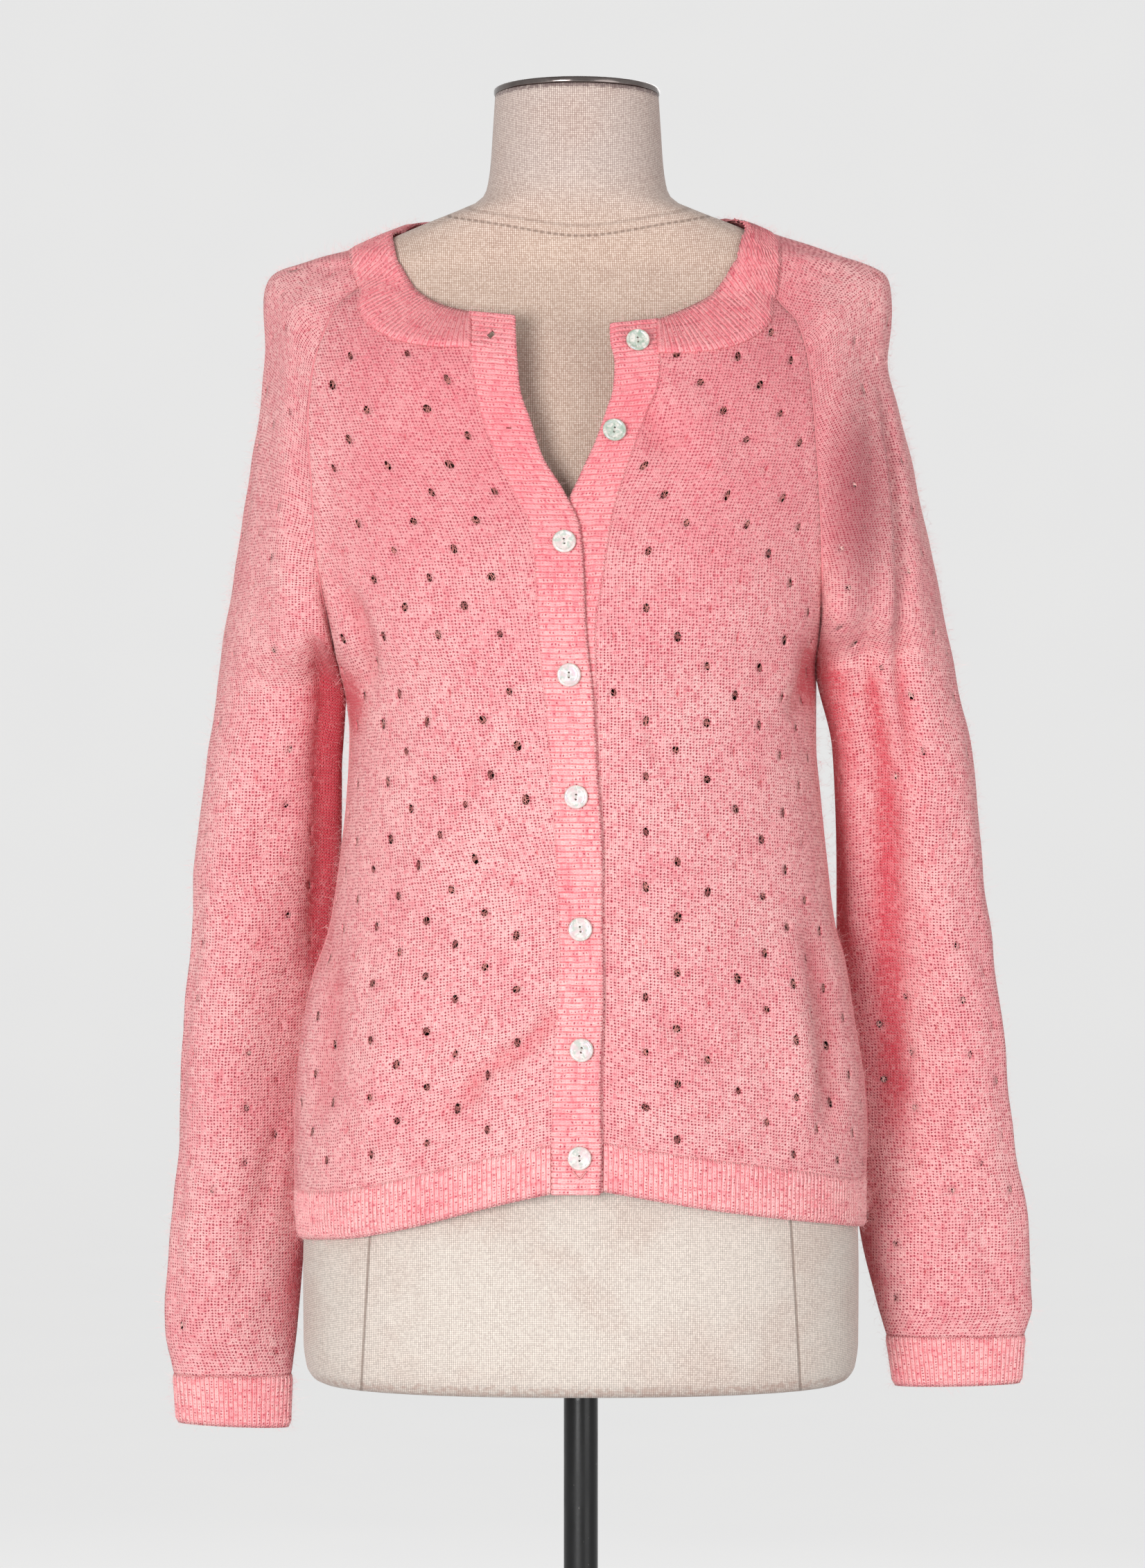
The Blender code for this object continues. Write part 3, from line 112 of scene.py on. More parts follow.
# sleeve in the yoke: climb, x, y and z of its outer ridge, bulge ahead and behind
shoulder = {
    "right": (
        (0, -0.233, 0.02, 1.164, 0.04, 0.044), (0.15, -0.2275, 0.02, 1.2, 0.036, 0.038),
        (0.35, -0.2185, 0.018, 1.258, 0.03, 0.03), (0.5, -0.21, 0.016, 1.313, 0.024, 0.024),
        (0.62, -0.203, 0.014, 1.355, 0.02, 0.019), (0.72, -0.2008, 0.012, 1.392, 0.017, 0.016),
        (0.8, -0.2011, 0.01, 1.419, 0.014, 0.013), (0.86, -0.1955, 0.01, 1.4335, 0.012, 0.011),
        (0.93, -0.17, 0.009, 1.4415, 0.009, 0.008), (1, -0.1405, 0.008, 1.45, 0.006, 0.005),
    ),
    "left": (
        (0, 0.2398, 0.02, 1.18, 0.04, 0.044), (0.15, 0.2325, 0.02, 1.214, 0.036, 0.038),
        (0.35, 0.2225, 0.018, 1.264, 0.03, 0.03), (0.5, 0.214, 0.016, 1.308, 0.024, 0.024),
        (0.62, 0.2042, 0.014, 1.345, 0.02, 0.019), (0.72, 0.195, 0.012, 1.382, 0.017, 0.016),
        (0.8, 0.195, 0.01, 1.413, 0.014, 0.013), (0.86, 0.1925, 0.01, 1.4335, 0.012, 0.011),
        (0.93, 0.16, 0.009, 1.445, 0.009, 0.008), (1, 0.1155, 0.008, 1.46, 0.006, 0.005),
    ),
}

# sleeve below the underarm: height, x and y of its inner side, x and y of its outer side,
# how far its front and its back stand off
tube = {
    "right": (
        (0.6955, -0.1873, 0.045, -0.26, 0.046, 0.015, 0.015),
        (0.728, -0.186, 0.045, -0.2625, 0.046, 0.017, 0.017),
        (0.755, -0.183, 0.047, -0.268, 0.048, 0.022, 0.022),
        (0.816, -0.178, 0.051, -0.2645, 0.048, 0.027, 0.027),
        (0.877, -0.1735, 0.053, -0.2593, 0.046, 0.028, 0.028),
        (0.938, -0.168, 0.053, -0.2564, 0.042, 0.028, 0.03),
        (0.999, -0.16, 0.047, -0.2515, 0.036, 0.03, 0.032),
        (1.06, -0.1535, 0.032, -0.2475, 0.03, 0.034, 0.036),
        (1.12, -0.1522, 0.014, -0.2405, 0.024, 0.038, 0.041),
        (1.164, -0.152, 0.002, -0.233, 0.02, 0.04, 0.044),
    ),
    "left": (
        (0.7215, 0.2014, 0.045, 0.2833, 0.046, 0.015, 0.015),
        (0.753, 0.1964, 0.045, 0.286, 0.046, 0.017, 0.017),
        (0.773, 0.191, 0.047, 0.2908, 0.048, 0.022, 0.022),
        (0.82, 0.18, 0.051, 0.2895, 0.048, 0.027, 0.027), (0.88, 0.1735, 0.053, 0.278, 0.046, 0.028, 0.028),
        (0.94, 0.169, 0.053, 0.2733, 0.042, 0.028, 0.03), (1, 0.165, 0.047, 0.2648, 0.036, 0.03, 0.032),
        (1.06, 0.164, 0.032, 0.2576, 0.03, 0.034, 0.036), (1.12, 0.161, 0.014, 0.251, 0.024, 0.038, 0.041),
        (1.18, 0.1545, 0.002, 0.2398, 0.02, 0.04, 0.044),
    ),
}

# long folds of the sleeves: share around at the top and at the bottom, upper and lower height,
# width as a share around, depth (below zero stands out)
sleeveFolds = {
    "right": (
        (0.11, 0.1, 1.25, 0.96, 0.055, 0.008), (0.33, 0.27, 1.16, 0.78, 0.08, -0.005),
        (0.62, 0.66, 1.2, 0.82, 0.06, 0.007), (0.88, 0.9, 1.22, 0.96, 0.055, 0.006),
    ),
    "left": (
        (0.22, 0.16, 1.26, 0.82, 0.06, 0.0095), (0.37, 0.33, 1.18, 0.8, 0.08, -0.0045),
        (0.63, 0.6, 1.22, 0.84, 0.06, 0.007), (0.88, 0.9, 1.22, 0.96, 0.055, 0.006),
    ),
}

# rings of the form: height, x of the middle, half width, depth of front and of back, power
formRings = (
    (0.73, 0, 0.164, 0.096, 0.1, 2.3), (0.7325, 0, 0.169, 0.101, 0.105, 2.3),
    (0.74, 0, 0.1735, 0.1055, 0.1095, 2.3), (0.755, 0, 0.1755, 0.108, 0.112, 2.3),
    (0.8, 0, 0.1758, 0.109, 0.113, 2.3), (0.85, 0, 0.1745, 0.108, 0.113, 2.3),
    (0.91, 0, 0.1655, 0.103, 0.109, 2.3), (0.97, 0, 0.147, 0.094, 0.098, 2.3),
    (1.02, 0, 0.13, 0.086, 0.085, 2.3), (1.05, 0, 0.1255, 0.085, 0.081, 2.3),
    (1.1, 0, 0.13, 0.094, 0.084, 2.3), (1.16, 0, 0.138, 0.113, 0.091, 2.3),
    (1.2, 0, 0.141, 0.119, 0.095, 2.3), (1.24, 0, 0.143, 0.113, 0.097, 2.3),
    (1.29, 0, 0.148, 0.099, 0.099, 2.3), (1.34, 0, 0.157, 0.084, 0.097, 2.3),
    (1.38, 0, 0.169, 0.07, 0.089, 2.2), (1.408, 0, 0.183, 0.055, 0.077, 2),
    (1.424, 0, 0.185, 0.048, 0.069, 1.8), (1.434, -0.0005, 0.176, 0.045, 0.064, 1.7),
    (1.445, -0.001, 0.141, 0.046, 0.06, 1.7), (1.4575, -0.0015, 0.1115, 0.048, 0.057, 1.8),
    (1.4665, -0.002, 0.089, 0.051, 0.055, 1.9), (1.4755, -0.0025, 0.065, 0.055, 0.0545, 2),
    (1.483, -0.0025, 0.058, 0.056, 0.054, 2), (1.5, -0.0025, 0.055, 0.055, 0.0535, 2),
    (1.523, -0.0025, 0.0534, 0.0535, 0.053, 2), (1.545, -0.0025, 0.052, 0.052, 0.052, 2),
)

# cloth values a user may change
cloth = dict(
    wall=0.0016, ribWall=0.0018, rib=0.0009, lap=0.0038, lapFade=0.060, hemHeight=0.0295,
    pitchHem=0.0031, pitchBand=0.0037, bandDrop=0.005, backHem=0.824, pickUpLow=0.890,
    clearance=0.0011, neckClearance=0.0004, fineCell=0.0025, sleeveCell=0.02 / 7,
    coarseCell=0.02 / 6,
    latticeAcross=0.020, latticeUp=0.035, eyeletHalf=(0.0024, 0.0031), eyeletDent=0.0013,
    # eyeletShade and the eyelet rim value: painted shade in the middle of an eyelet and round its edge
    eyeletShade=0.62, eyeletRimShade=0.20, openBody=0.8, openSleeve=0.3, smallSleeve=0.76,
    creaseGain=1.45, shoulderPush={"right": 0.0010, "left": 0.0050},
    # shares of painted shade on each sleeve: the dusky mauve and the red of its folds
    paintedDuskShare={"right": 0.25, "left": 1.0}, paintedRedShare={"right": 1.0, "left": 0.76},
)
underarm = {"right": 1.164, "left": 1.180}
raglanTop = {"right": 1.420, "left": 1.414}
backTop = {"right": 1.443, "left": 1.447}
backNeck = 1.446
pickUpTop = {"right": 1.3765, "left": 1.3730}
topEdge, neckBend = 0.04, 2.2
sides = ("right", "left")

# creases of the body: x and height of both ends, half width, depth (below zero stands out)
creases = {
    "front": (
        (-0.012, 0.967, -0.047, 0.94, 0.0075, 0.0034), (-0.043, 0.942, -0.07, 0.92, 0.007, 0.003),
        (-0.064, 0.923, -0.09, 0.901, 0.008, 0.0024), (-0.025, 0.903, -0.033, 0.889, 0.006, 0.0016),
        (0.0455, 1.137, 0.0458, 1.116, 0.0035, 0.0014), (-0.068, 1.134, -0.069, 1.1, 0.004, 0.0016),
        (0.143, 1.016, 0.158, 0.898, 0.0085, 0.004), (0.128, 0.98, 0.136, 0.9, 0.011, -0.002),
        (-0.145, 1.227, -0.13, 1.17, 0.007, 0.0042), (0.144, 1.19, 0.136, 1.15, 0.007, 0.0036),
        (0.03, 1.36, 0.056, 1.305, 0.01, 0.002), (0.062, 1.35, 0.086, 1.29, 0.012, -0.0016),
        (-0.1, 1.35, -0.07, 1.29, 0.013, 0.0016), (-0.152, 1.01, -0.166, 0.9, 0.011, 0.003),
        (-0.11, 0.98, -0.133, 0.89, 0.012, -0.002), (0.05, 0.97, 0.09, 0.93, 0.01, 0.0016),
    ),
    "back": (
        (-0.03, 1.39, -0.09, 1.3, 0.013, 0.0024), (0.04, 1.39, 0.095, 1.305, 0.013, 0.0024),
        (-0.125, 1.23, -0.108, 1.15, 0.01, 0.004), (0.128, 1.23, 0.11, 1.15, 0.01, 0.004),
        (-0.085, 1.03, -0.05, 0.95, 0.012, 0.003), (0.09, 1.04, 0.06, 0.96, 0.012, 0.003),
        (-0.135, 1.01, -0.15, 0.89, 0.012, 0.0034), (0.135, 1.0, 0.15, 0.89, 0.012, 0.0034),
        (-0.02, 1.06, 0.03, 1.045, 0.01, 0.0022), (0.025, 0.99, 0.015, 0.9, 0.015, -0.002),
    ),
}
# lesser folds of the sleeves: as sleeveFolds
sleeveCreases = {
    "right": (
        (0.47, 0.4, 1.42, 1.24, 0.04, 0.0022), (0.2, 0.36, 1.1, 1.0, 0.035, 0.0024),
        (0.42, 0.46, 1.06, 0.86, 0.03, 0.0018), (0.16, 0.24, 0.9, 0.76, 0.03, 0.0026),
        (0.44, 0.4, 0.88, 0.74, 0.034, 0.002), (0.76, 0.72, 1.08, 0.8, 0.04, -0.0024),
    ),
    "left": (
        (0.33, 0.255, 1.37, 1.08, 0.022, 0.0062), (0.285, 0.215, 1.37, 1.08, 0.022, -0.0034),
        (0.46, 0.44, 1.4, 1.24, 0.04, 0.0022), (0.3, 0.42, 1.12, 0.96, 0.04, 0.0026),
        (0.07, 0.1, 1.18, 0.98, 0.03, -0.0022), (0.26, 0.36, 0.9, 0.77, 0.032, 0.003),
        (0.44, 0.46, 1.0, 0.8, 0.03, -0.0018), (0.76, 0.72, 1.08, 0.8, 0.04, -0.0024),
    ),
}


def evenSlopes(key, values):  # harmonic mean of the steps on both sides, 0 where they turn
    steps = np.diff(values, axis=0) / np.diff(key)[:, None]
    before, after = steps[:-1], steps[1:]
    sameWay = before * after > 0
    total = np.where(sameWay, before + after, 1.0)
    return np.concatenate([steps[:1], np.where(sameWay, 2 * before * after / total, 0.0), steps[-1:]])


# cubic from one point to the next with given slopes at both, t from 0 to 1
def cubicStep(t, first, last, slopeFirst, slopeLast, span=1.0):
    start = (1 + 2 * t) * (1 - t) ** 2 * first + t * (1 - t) ** 2 * span * slopeFirst
    return start + t * t * (3 - 2 * t) * last + t * t * (t - 1) * span * slopeLast


def smoothCurve(table, at):  # cubic through a table's rows, as a function of its first column
    rows = np.array(table)
    key, values = rows[:, 0], rows[:, 1:]
    at = np.clip(np.asarray(at, float), key[0], key[-1])
    slope = evenSlopes(key, values)
    i = np.clip(np.searchsorted(key, at) - 1, 0, len(key) - 2)
    span = (key[i + 1] - key[i])[..., None]
    t = (at - key[i])[..., None] / span
    return cubicStep(t, values[i], values[i + 1], slope[i], slope[i + 1], span)


def ease(t):  # 0 below 0, 1 above 1, 3t^2 - 2t^3 between
    t = np.clip(t, 0.0, 1.0)
    return t * t * (3 - 2 * t)


def bell(t, width):  # Gaussian: exp(-(t / width)^2)
    return np.exp(-((t / width) ** 2))


def outwardSign(side):
    return -1 if side == "right" else 1


# quarter of the body at height z: a cubic arc from the centre line (share 0) to the seam (share 1)
def bodyPoint(side, face, z, share):
    z, share = np.broadcast_arrays(np.asarray(z, float), np.asarray(share, float))
    centreY = smoothCurve(centreLine, z)[..., 0 if face == "front" else 1]
    seam = smoothCurve(sideSeam[side], z)
    x, y = (seam[..., 0], seam[..., 1]) if face == "front" else (seam[..., 2], seam[..., 3])
    lean = 0.22 * ease((z - underarm[side]) / 0.08)
    t = np.abs(share)
    a, b, c, d = (1 - t) ** 3, 3 * t * (1 - t) ** 2, 3 * t * t * (1 - t), t**3
    px = (b * 0.58 * x + c * (1 - lean) * x + d * x) * np.sign(share + 1e-12)
    py = (a + b) * centreY + c * (y + (centreY - y) * 0.58) + d * y
    return np.stack([px, py, z], axis=-1)


# body arc, the right front lifted towards its band where it laps over
def panelPoint(side, face, z, share):
    point = bodyPoint(side, face, z, share)
    if face == "front" and side == "right":
        pick = smoothCurve(bandLines["right"], point[..., 2])[..., 0]
        point[..., 1] -= cloth["lap"] * (1 - ease((pick - point[..., 0]) / cloth["lapFade"]))
    return point


# share of the way to the seam where the front has this x, row by row
def shareAt(side, z, x):
    z, x = np.atleast_1d(z), np.atleast_1d(x)
    shares = np.linspace(-0.6, 1.0, 161)
    reach = bodyPoint(side, "front", z[:, None], shares[None, :])[..., 0] * outwardSign(side)
    return np.array([np.interp(a, row, shares) for a, row in zip(x * outwardSign(side), reach)])


def hemHeightAt(side, face, share):  # lower edge of the hem
    if face == "back":
        return cloth["backHem"] + (hemLine[side][-1][1] - cloth["backHem"]) * ease(share)
    return smoothCurve(hemLine[side], share)[..., 0]


def gridNormals(points, closed=False):  # cross product of the steps along both parameters
    up = np.gradient(points, axis=0)
    across = (np.roll(points, -1, 1) - np.roll(points, 1, 1)) / 2 if closed else np.gradient(points, axis=1)
    normal = np.cross(across, up)
    normal = normal / np.maximum(np.linalg.norm(normal, axis=-1, keepdims=True), 1e-12)
    away = points[..., :2] - points[..., :2].mean(axis=1, keepdims=True) * (1.0 if closed else 0.0)
    return normal if (normal[..., :2] * away).sum() > 0 else -normal


# form's ring: (|x|/half)^power + (|y|/depth)^power = 1, read smoothly between its rows
def formLevel(points):
    middle, half, front, back, power = np.moveaxis(smoothCurve(formRings, points[..., 2]), -1, 0)
    x = np.abs(points[..., 0] - middle) / half
    y = np.abs(points[..., 1]) / np.where(points[..., 1] < 0, front, back)
    return (x**power + y**power) ** (1 / power) - 1


def clearOfForm(points, clearance):  # moves points out along the level's slope until they are clear
    out, step = points.copy(), 0.0005
    for _ in range(4):
        near = formLevel(out) < 0.09
        some = out[near]
        level = formLevel(some)
        ways = np.eye(3) * step
        slope = np.stack([formLevel(some + w) - formLevel(some - w) for w in ways], axis=-1) / (2 * step)
        size = np.linalg.norm(slope, axis=-1)
        out[near] = some + slope / size[..., None] * np.maximum(clearance - level / size, 0)[..., None]
    return out


# depth of straight creases: a Gaussian across each, faded at both ends
def creaseDepth(face, x, z):
    depth = np.zeros_like(x)
    for x0, z0, x1, z1, width, push in creases[face]:
        length = math.hypot(x1 - x0, z1 - z0)
        along = ((x - x0) * (x1 - x0) + (z - z0) * (z1 - z0)) / length**2
        away = ((x - x0) * (z1 - z0) - (z - z0) * (x1 - x0)) / length
        away = away + 0.0022 * np.sin(along * 4.0 + x0 * 90)
        fade = ease((along + 0.22) / 0.45) * ease((1.22 - along) / 0.45)
        groove = bell(away, width)
        brow = bell(away - 2.1 * width, 1.3 * width)
        depth += cloth["creaseGain"] * push * fade * (groove - 0.35 * brow)
    return depth


# slack of hanging cloth: a sum of slow waves in x and z
def slack(x, z, size):
    waves = (
        np.sin(23 * x + 31 * z) * np.sin(17 * z - 41 * x + 1.3)
        + 0.6 * np.sin(67 * x - 29 * z + 0.7) * np.sin(59 * z + 13 * x)
        + 0.35 * np.sin(131 * x + 47 * z) * np.sin(113 * z - 71 * x + 2.1)
    )
    return waves * size


# ring of a sleeve: cubic arcs through five guide points (rows, 5, 3), shut or open at the seams
def arcRing(guide, shut, count):
    shut = shut[:, None]
    tangents = [(guide[:, i + 1] - guide[:, i - 1]) * 0.83 for i in (1, 2, 3)]
    loop = (guide[:, 1] - guide[:, 3]) * 0.83
    first = loop * shut + (guide[:, 1] - guide[:, 0]) * 1.2 * (1 - shut)
    final = loop * shut + (guide[:, 4] - guide[:, 3]) * 1.2 * (1 - shut)
    slopes = np.stack([first, *tangents, final], axis=1)
    at = np.linspace(0, 4, count)
    i = np.minimum(at.astype(int), 3)
    t = (at - i)[None, :, None]
    return cubicStep(t, guide[:, i], guide[:, i + 1], slopes[:, i], slopes[:, i + 1])


def tubeRings(side, z, count):  # rings below the underarm at heights z
    innerX, innerY, outerX, outerY, front, back = np.moveaxis(smoothCurve(tube[side], z), -1, 0)
    inner, outer = np.stack([innerX, innerY, z], -1), np.stack([outerX, outerY, z], -1)
    seam = smoothCurve(sideSeam[side], underarm[side])[:2] - inner[-1, :2]
    inner[:, :2] += seam * ease((z - underarm[side] + 0.05) / 0.05)[:, None] * (z[-1] > underarm[side] - 0.01)
    ahead, behind = (inner + outer) / 2, (inner + outer) / 2
    ahead[:, 1] -= front
    behind[:, 1] += back
    return arcRing(np.stack([inner, ahead, outer, behind, inner], axis=1), np.ones(len(z)), count)


def yokeRings(side, climb, count):  # rings over the shoulder, from the front raglan seam to the back one
    zFront = underarm[side] + (raglanTop[side] - underarm[side]) * climb
    zBack = underarm[side] + (backTop[side] - underarm[side]) * climb
    frontSeam = np.concatenate([smoothCurve(sideSeam[side], zFront)[:, :2], zFront[:, None]], axis=1)
    backSeam = np.concatenate([smoothCurve(sideSeam[side], zBack)[:, 2:], zBack[:, None]], axis=1)
    values = smoothCurve(shoulder[side], climb)
    ridge, ahead, behind = values[:, :3], values[:, 3:4], values[:, 4:5]
    way = np.stack([outwardSign(side) * 0.35 * climb, -1 + 0.2 * climb, 0.5 * climb**2], axis=1)
    front = (frontSeam + ridge) / 2 + way * ahead
    back = (backSeam + ridge) / 2 + way * [1, -1, 1] * behind
    return arcRing(np.stack([frontSeam, front, ridge, back, backSeam], axis=1), 1 - ease(climb / 0.4), count)


def foldDepth(rows, surface):  # long folds of a sleeve: Gaussians across, faded at both ends
    around = np.linspace(0, 1, surface.shape[1])[None, :]
    depth = np.zeros(surface.shape[:2])
    for top, bottom, high, low, width, push in rows:
        down = (high - surface[..., 2]) / (high - low)
        fade = ease(down / 0.25) * ease((1 - down) / 0.25)
        depth += push * fade * bell(around - top - (bottom - top) * down, width)
    return depth


def runAlong(rows, zero=0):  # length along each row of points, 0 at the given column
    steps = np.linalg.norm(np.diff(rows, axis=1), axis=-1)
    run = np.concatenate([np.zeros((len(rows), 1)), np.cumsum(steps, axis=1)], axis=1)
    return run - run[:, zero : zero + 1]


def readRows(rows, run, at):  # rows of values, read at given lengths along each
    out = np.empty(at.shape + (rows.shape[-1],))
    for r in range(len(rows)):
        i = np.clip(np.searchsorted(run[r], at[r]) - 1, 0, run.shape[1] - 2)
        t = ((at[r] - run[r, i]) / np.maximum(run[r, i + 1] - run[r, i], 1e-9))[:, None]
        out[r] = rows[r, i] * (1 - t) + rows[r, i + 1] * t
    return out


def evenPath(points, count):  # a path of points at even steps
    run = runAlong(points[None])
    return readRows(points[None], run, np.linspace(0, run[0, -1], count)[None])[0]


def meshPiece(name, points, polys, uv, weld=None, paintedShade=None):
    corners = np.concatenate([p.ravel() for p in polys])
    sizes = np.concatenate([np.full(len(p), p.shape[1]) for p in polys])
    spots = corners if weld is None else weld[corners]
    used, spots = np.unique(spots, return_inverse=True)
    mesh = bpy.data.meshes.new(name)
    mesh.vertices.add(len(used))
    mesh.vertices.foreach_set("co", points[used].astype(np.float32).ravel())
    mesh.loops.add(len(corners))
    mesh.loops.foreach_set("vertex_index", spots.ravel().astype(np.int32))
    mesh.polygons.add(len(sizes))
    mesh.polygons.foreach_set("loop_start", np.concatenate([[0], np.cumsum(sizes)[:-1]]).astype(np.int32))
    mesh.update(calc_edges=True)
    mesh.uv_layers.new(name="surface").data.foreach_set("uv", uv[corners].astype(np.float32).ravel())
    # each point's painted shade goes in a point attribute that the materials read
    if paintedShade is not None:
        mesh.attributes.new("paintedShade", "FLOAT", "POINT").data.foreach_set("value", paintedShade[used].astype(np.float32))
    mesh.shade_smooth()
    piece = bpy.data.objects.new(name, mesh)
    scene.collection.objects.link(piece)
    return piece


def gridQuads(rows, columns, closed=False):  # corner numbers of every cell of a grid
    across = columns if closed else columns - 1
    j, i = np.meshgrid(np.arange(rows - 1), np.arange(across), indexing="ij")
    k = (i + 1) % columns
    return np.stack([j * columns + i, j * columns + k, (j + 1) * columns + k, (j + 1) * columns + i], -1)


def welded(rows, columns, closed=True):  # point numbers of a grid; a closed one ends on its first column
    weld = np.arange(rows * columns).reshape(rows, columns)
    if closed:
        weld[:, -1] = weld[:, 0]
    return weld


def facingOut(points, quads, outward):  # the quads, turned if they face against the outward normals
    a, b, d = points[quads[:, 0]], points[quads[:, 1]], points[quads[:, 3]]
    return quads if (np.cross(b - a, d - a) * outward[quads[:, 0]]).sum() > 0 else quads[:, ::-1]


def shell(piece, thickness):  # a wall inwards from the outer surface
    wall = piece.modifiers.new("wall", "SOLIDIFY")
    wall.thickness = thickness
    wall.offset = -1
    wall.use_rim = True
    bpy.context.view_layer.objects.active = piece
    piece.select_set(True)
    bpy.ops.object.modifier_apply(modifier=wall.name)
    piece.select_set(False)
    piece.data.shade_smooth()
    return piece


eyelets = {}  # per panel: middle, outward way and half size of each eyelet
seams = []  # paths of the sewn seams, a little below the surface


# knitted panel: wales at even lengths along each row, clipped to the borders; cells that the border
# swallows are dropped, and eyelets are octagons opened round the points of a staggered lattice, each
# of its own size; the closed ones are only dented
def knitPanel(
    name, fine, depth, rowRun, zero, low, high, cell, marks, shut=0, lattice=(0, 0), lean=0.0,
    openShare=cloth["openBody"], small=1.0,
):
    run = runAlong(fine, zero)
    lean = (np.zeros(len(fine)) + lean)[:, None]
    k = np.arange(math.floor((low - lean[:, 0]).min() / cell), math.ceil((high - lean[:, 0]).max() / cell) + 1)
    wale = k[None] * cell + lean
    isLow = wale <= low[:, None] + 0.35 * cell
    isHigh = (wale >= high[:, None] - 0.35 * cell) & ~isLow
    along = np.where(isLow, low[:, None], np.where(isHigh, high[:, None], wale))
    rows, columns = along.shape
    # depth here is each point's painted shade, carried along as a seventh value
    values = readRows(np.concatenate([fine, gridNormals(fine), depth[..., None]], axis=-1), run, along)
    toEdge = np.minimum(along - low[:, None], high[:, None] - along)
    values[..., :3] += values[..., 3:6] * marks(along - low[:, None], high[:, None] - along)[..., None]
    uv = np.stack([along - lean, np.broadcast_to(rowRun[:, None], along.shape)], axis=-1)
    values = np.concatenate([values, uv], axis=-1)
    column = np.arange(columns)[None]
    number = np.clip(column, isLow.sum(1)[:, None] - 1, (columns - isHigh.sum(1))[:, None])
    number = number + np.arange(rows)[:, None] * columns
    a, b, c, d = number[:-1, :-1], number[:-1, 1:], number[1:, 1:], number[1:, :-1]
    keep = np.ones(a.shape, bool)
    step = rowRun[1] - rowRun[0]
    perAcross, perUp = round(cloth["latticeAcross"] / cell), round(cloth["latticeUp"] / step)
    j, i = np.meshgrid(np.arange(rows), np.arange(columns), indexing="ij")
    place = k[i] - lattice[0]
    onColumn = place % perAcross == 0
    odd = (place // perAcross) % 2
    onRow = (j - lattice[1] + odd * (perUp // 2)) % perUp == 0
    roomy = (toEdge > 0.012) & (j > 4) & (j < rows - 5)
    cj, ci = np.nonzero(onColumn & onRow & roomy)
    before = values.copy()
    centre = before[cj, ci]
    isOpen = draw.random(len(cj)) < openShare
    size = np.array(cloth["eyeletHalf"]) * (0.72 + 0.44 * draw.random((len(cj), 2))) * small
    size[:, 0] *= np.where(isOpen, 1.0, 0.65)
    turned = draw.normal(size=(len(cj), 1)) * 0.18
    for dj in (-1, 0, 1):
        for di in (-1, 0, 1):
            if dj or di:
                slant = 0.707 if dj and di else 1.0
                alongX = (before[cj, ci + 1] - before[cj, ci - 1]) / (2 * cell)
                alongZ = (before[cj + 1, ci] - before[cj - 1, ci]) / (2 * step)
                moveX = (alongX + alongZ * turned) * size[:, :1] * slant * di
                moveZ = (alongZ - alongX * turned) * size[:, 1:] * slant * dj
                values[cj + dj, ci + di] = centre + moveX + moveZ
                # painted shade round each eyelet's edge and, more, in the middle of a closed one; negative values,
                # the painted dusky shade, stay
                shaded = np.maximum(centre[:, 6], cloth["eyeletRimShade"])
                values[cj + dj, ci + di, 6] = np.where(centre[:, 6] < 0, centre[:, 6], shaded)
    values[cj, ci, :3] -= centre[:, 3:6] * cloth["eyeletDent"]
    values[cj, ci, 6] = np.where(centre[:, 6] < 0, centre[:, 6], cloth["eyeletShade"])
    eyelets[name] = (centre[isOpen, :3], centre[isOpen, 3:6], size[isOpen])
    for dj, di in ((0, 0), (-1, 0), (0, -1), (-1, -1)):
        keep[cj[isOpen] + dj, ci[isOpen] + di] = False
    quads = np.stack([a, b, c, d], axis=-1)
    wide, flatLow, flatHigh = (a != b) & (d != c), (a == b) & (d != c), (a != b) & (d == c)
    points, normals = values[..., :3].reshape(-1, 3), values[..., 3:6].reshape(-1, 3)
    whole = quads[keep & wide]
    turned = (facingOut(points, whole, normals) == whole).all()
    thirds = [quads[keep & flatLow][:, [0, 2, 3]], quads[keep & flatHigh][:, [0, 1, 2]]]
    polys = [whole, *thirds] if turned else [whole[:, ::-1], *(t[:, ::-1] for t in thirds)]
    weld = np.arange(rows * columns)
    rowNumbers = np.arange(shut)
    weld[number[rowNumbers, -1]] = number[rowNumbers, 0]
    piece = meshPiece(
        name, points, [p for p in polys if len(p)], values[..., 7:9].reshape(-1, 2), weld, values[..., 6].ravel()
    )
    return shell(piece, cloth["wall"])


def raglanMark(edge):  # full-fashioned shaping: a raised line of doubled stitches beside a seam
    return bell(edge - 0.0070, 0.0015) * 0.0006 - bell(edge, 0.0015) * 0.00025


def tuckedUnder(edge):  # sunk border of a panel, under the ribbing that is knitted on to it
    return -0.0005 * (1 - ease(edge / 0.0045))


# painted shade of a body panel: in its creases, in the pit under each arm and along the side seam below it
def bodyPaintedShade(face, points, depth):
    paintedShade = np.clip(depth / 0.0042, 0, 1) * 0.32
    for side in sides:
        seamX = smoothCurve(sideSeam[side], points[..., 2])[..., 0 if face == "front" else 2]
        inward = np.abs(points[..., 0] - seamX)
        below = underarm[side] - points[..., 2]
        pit = np.exp(-(((below - 0.004) / 0.022) ** 2) - (inward / 0.013) ** 2)
        edge = 0.30 * bell(inward, 0.005) * ease(below / 0.02)
        paintedShade = np.maximum(paintedShade, np.maximum(pit, edge))
    return paintedShade


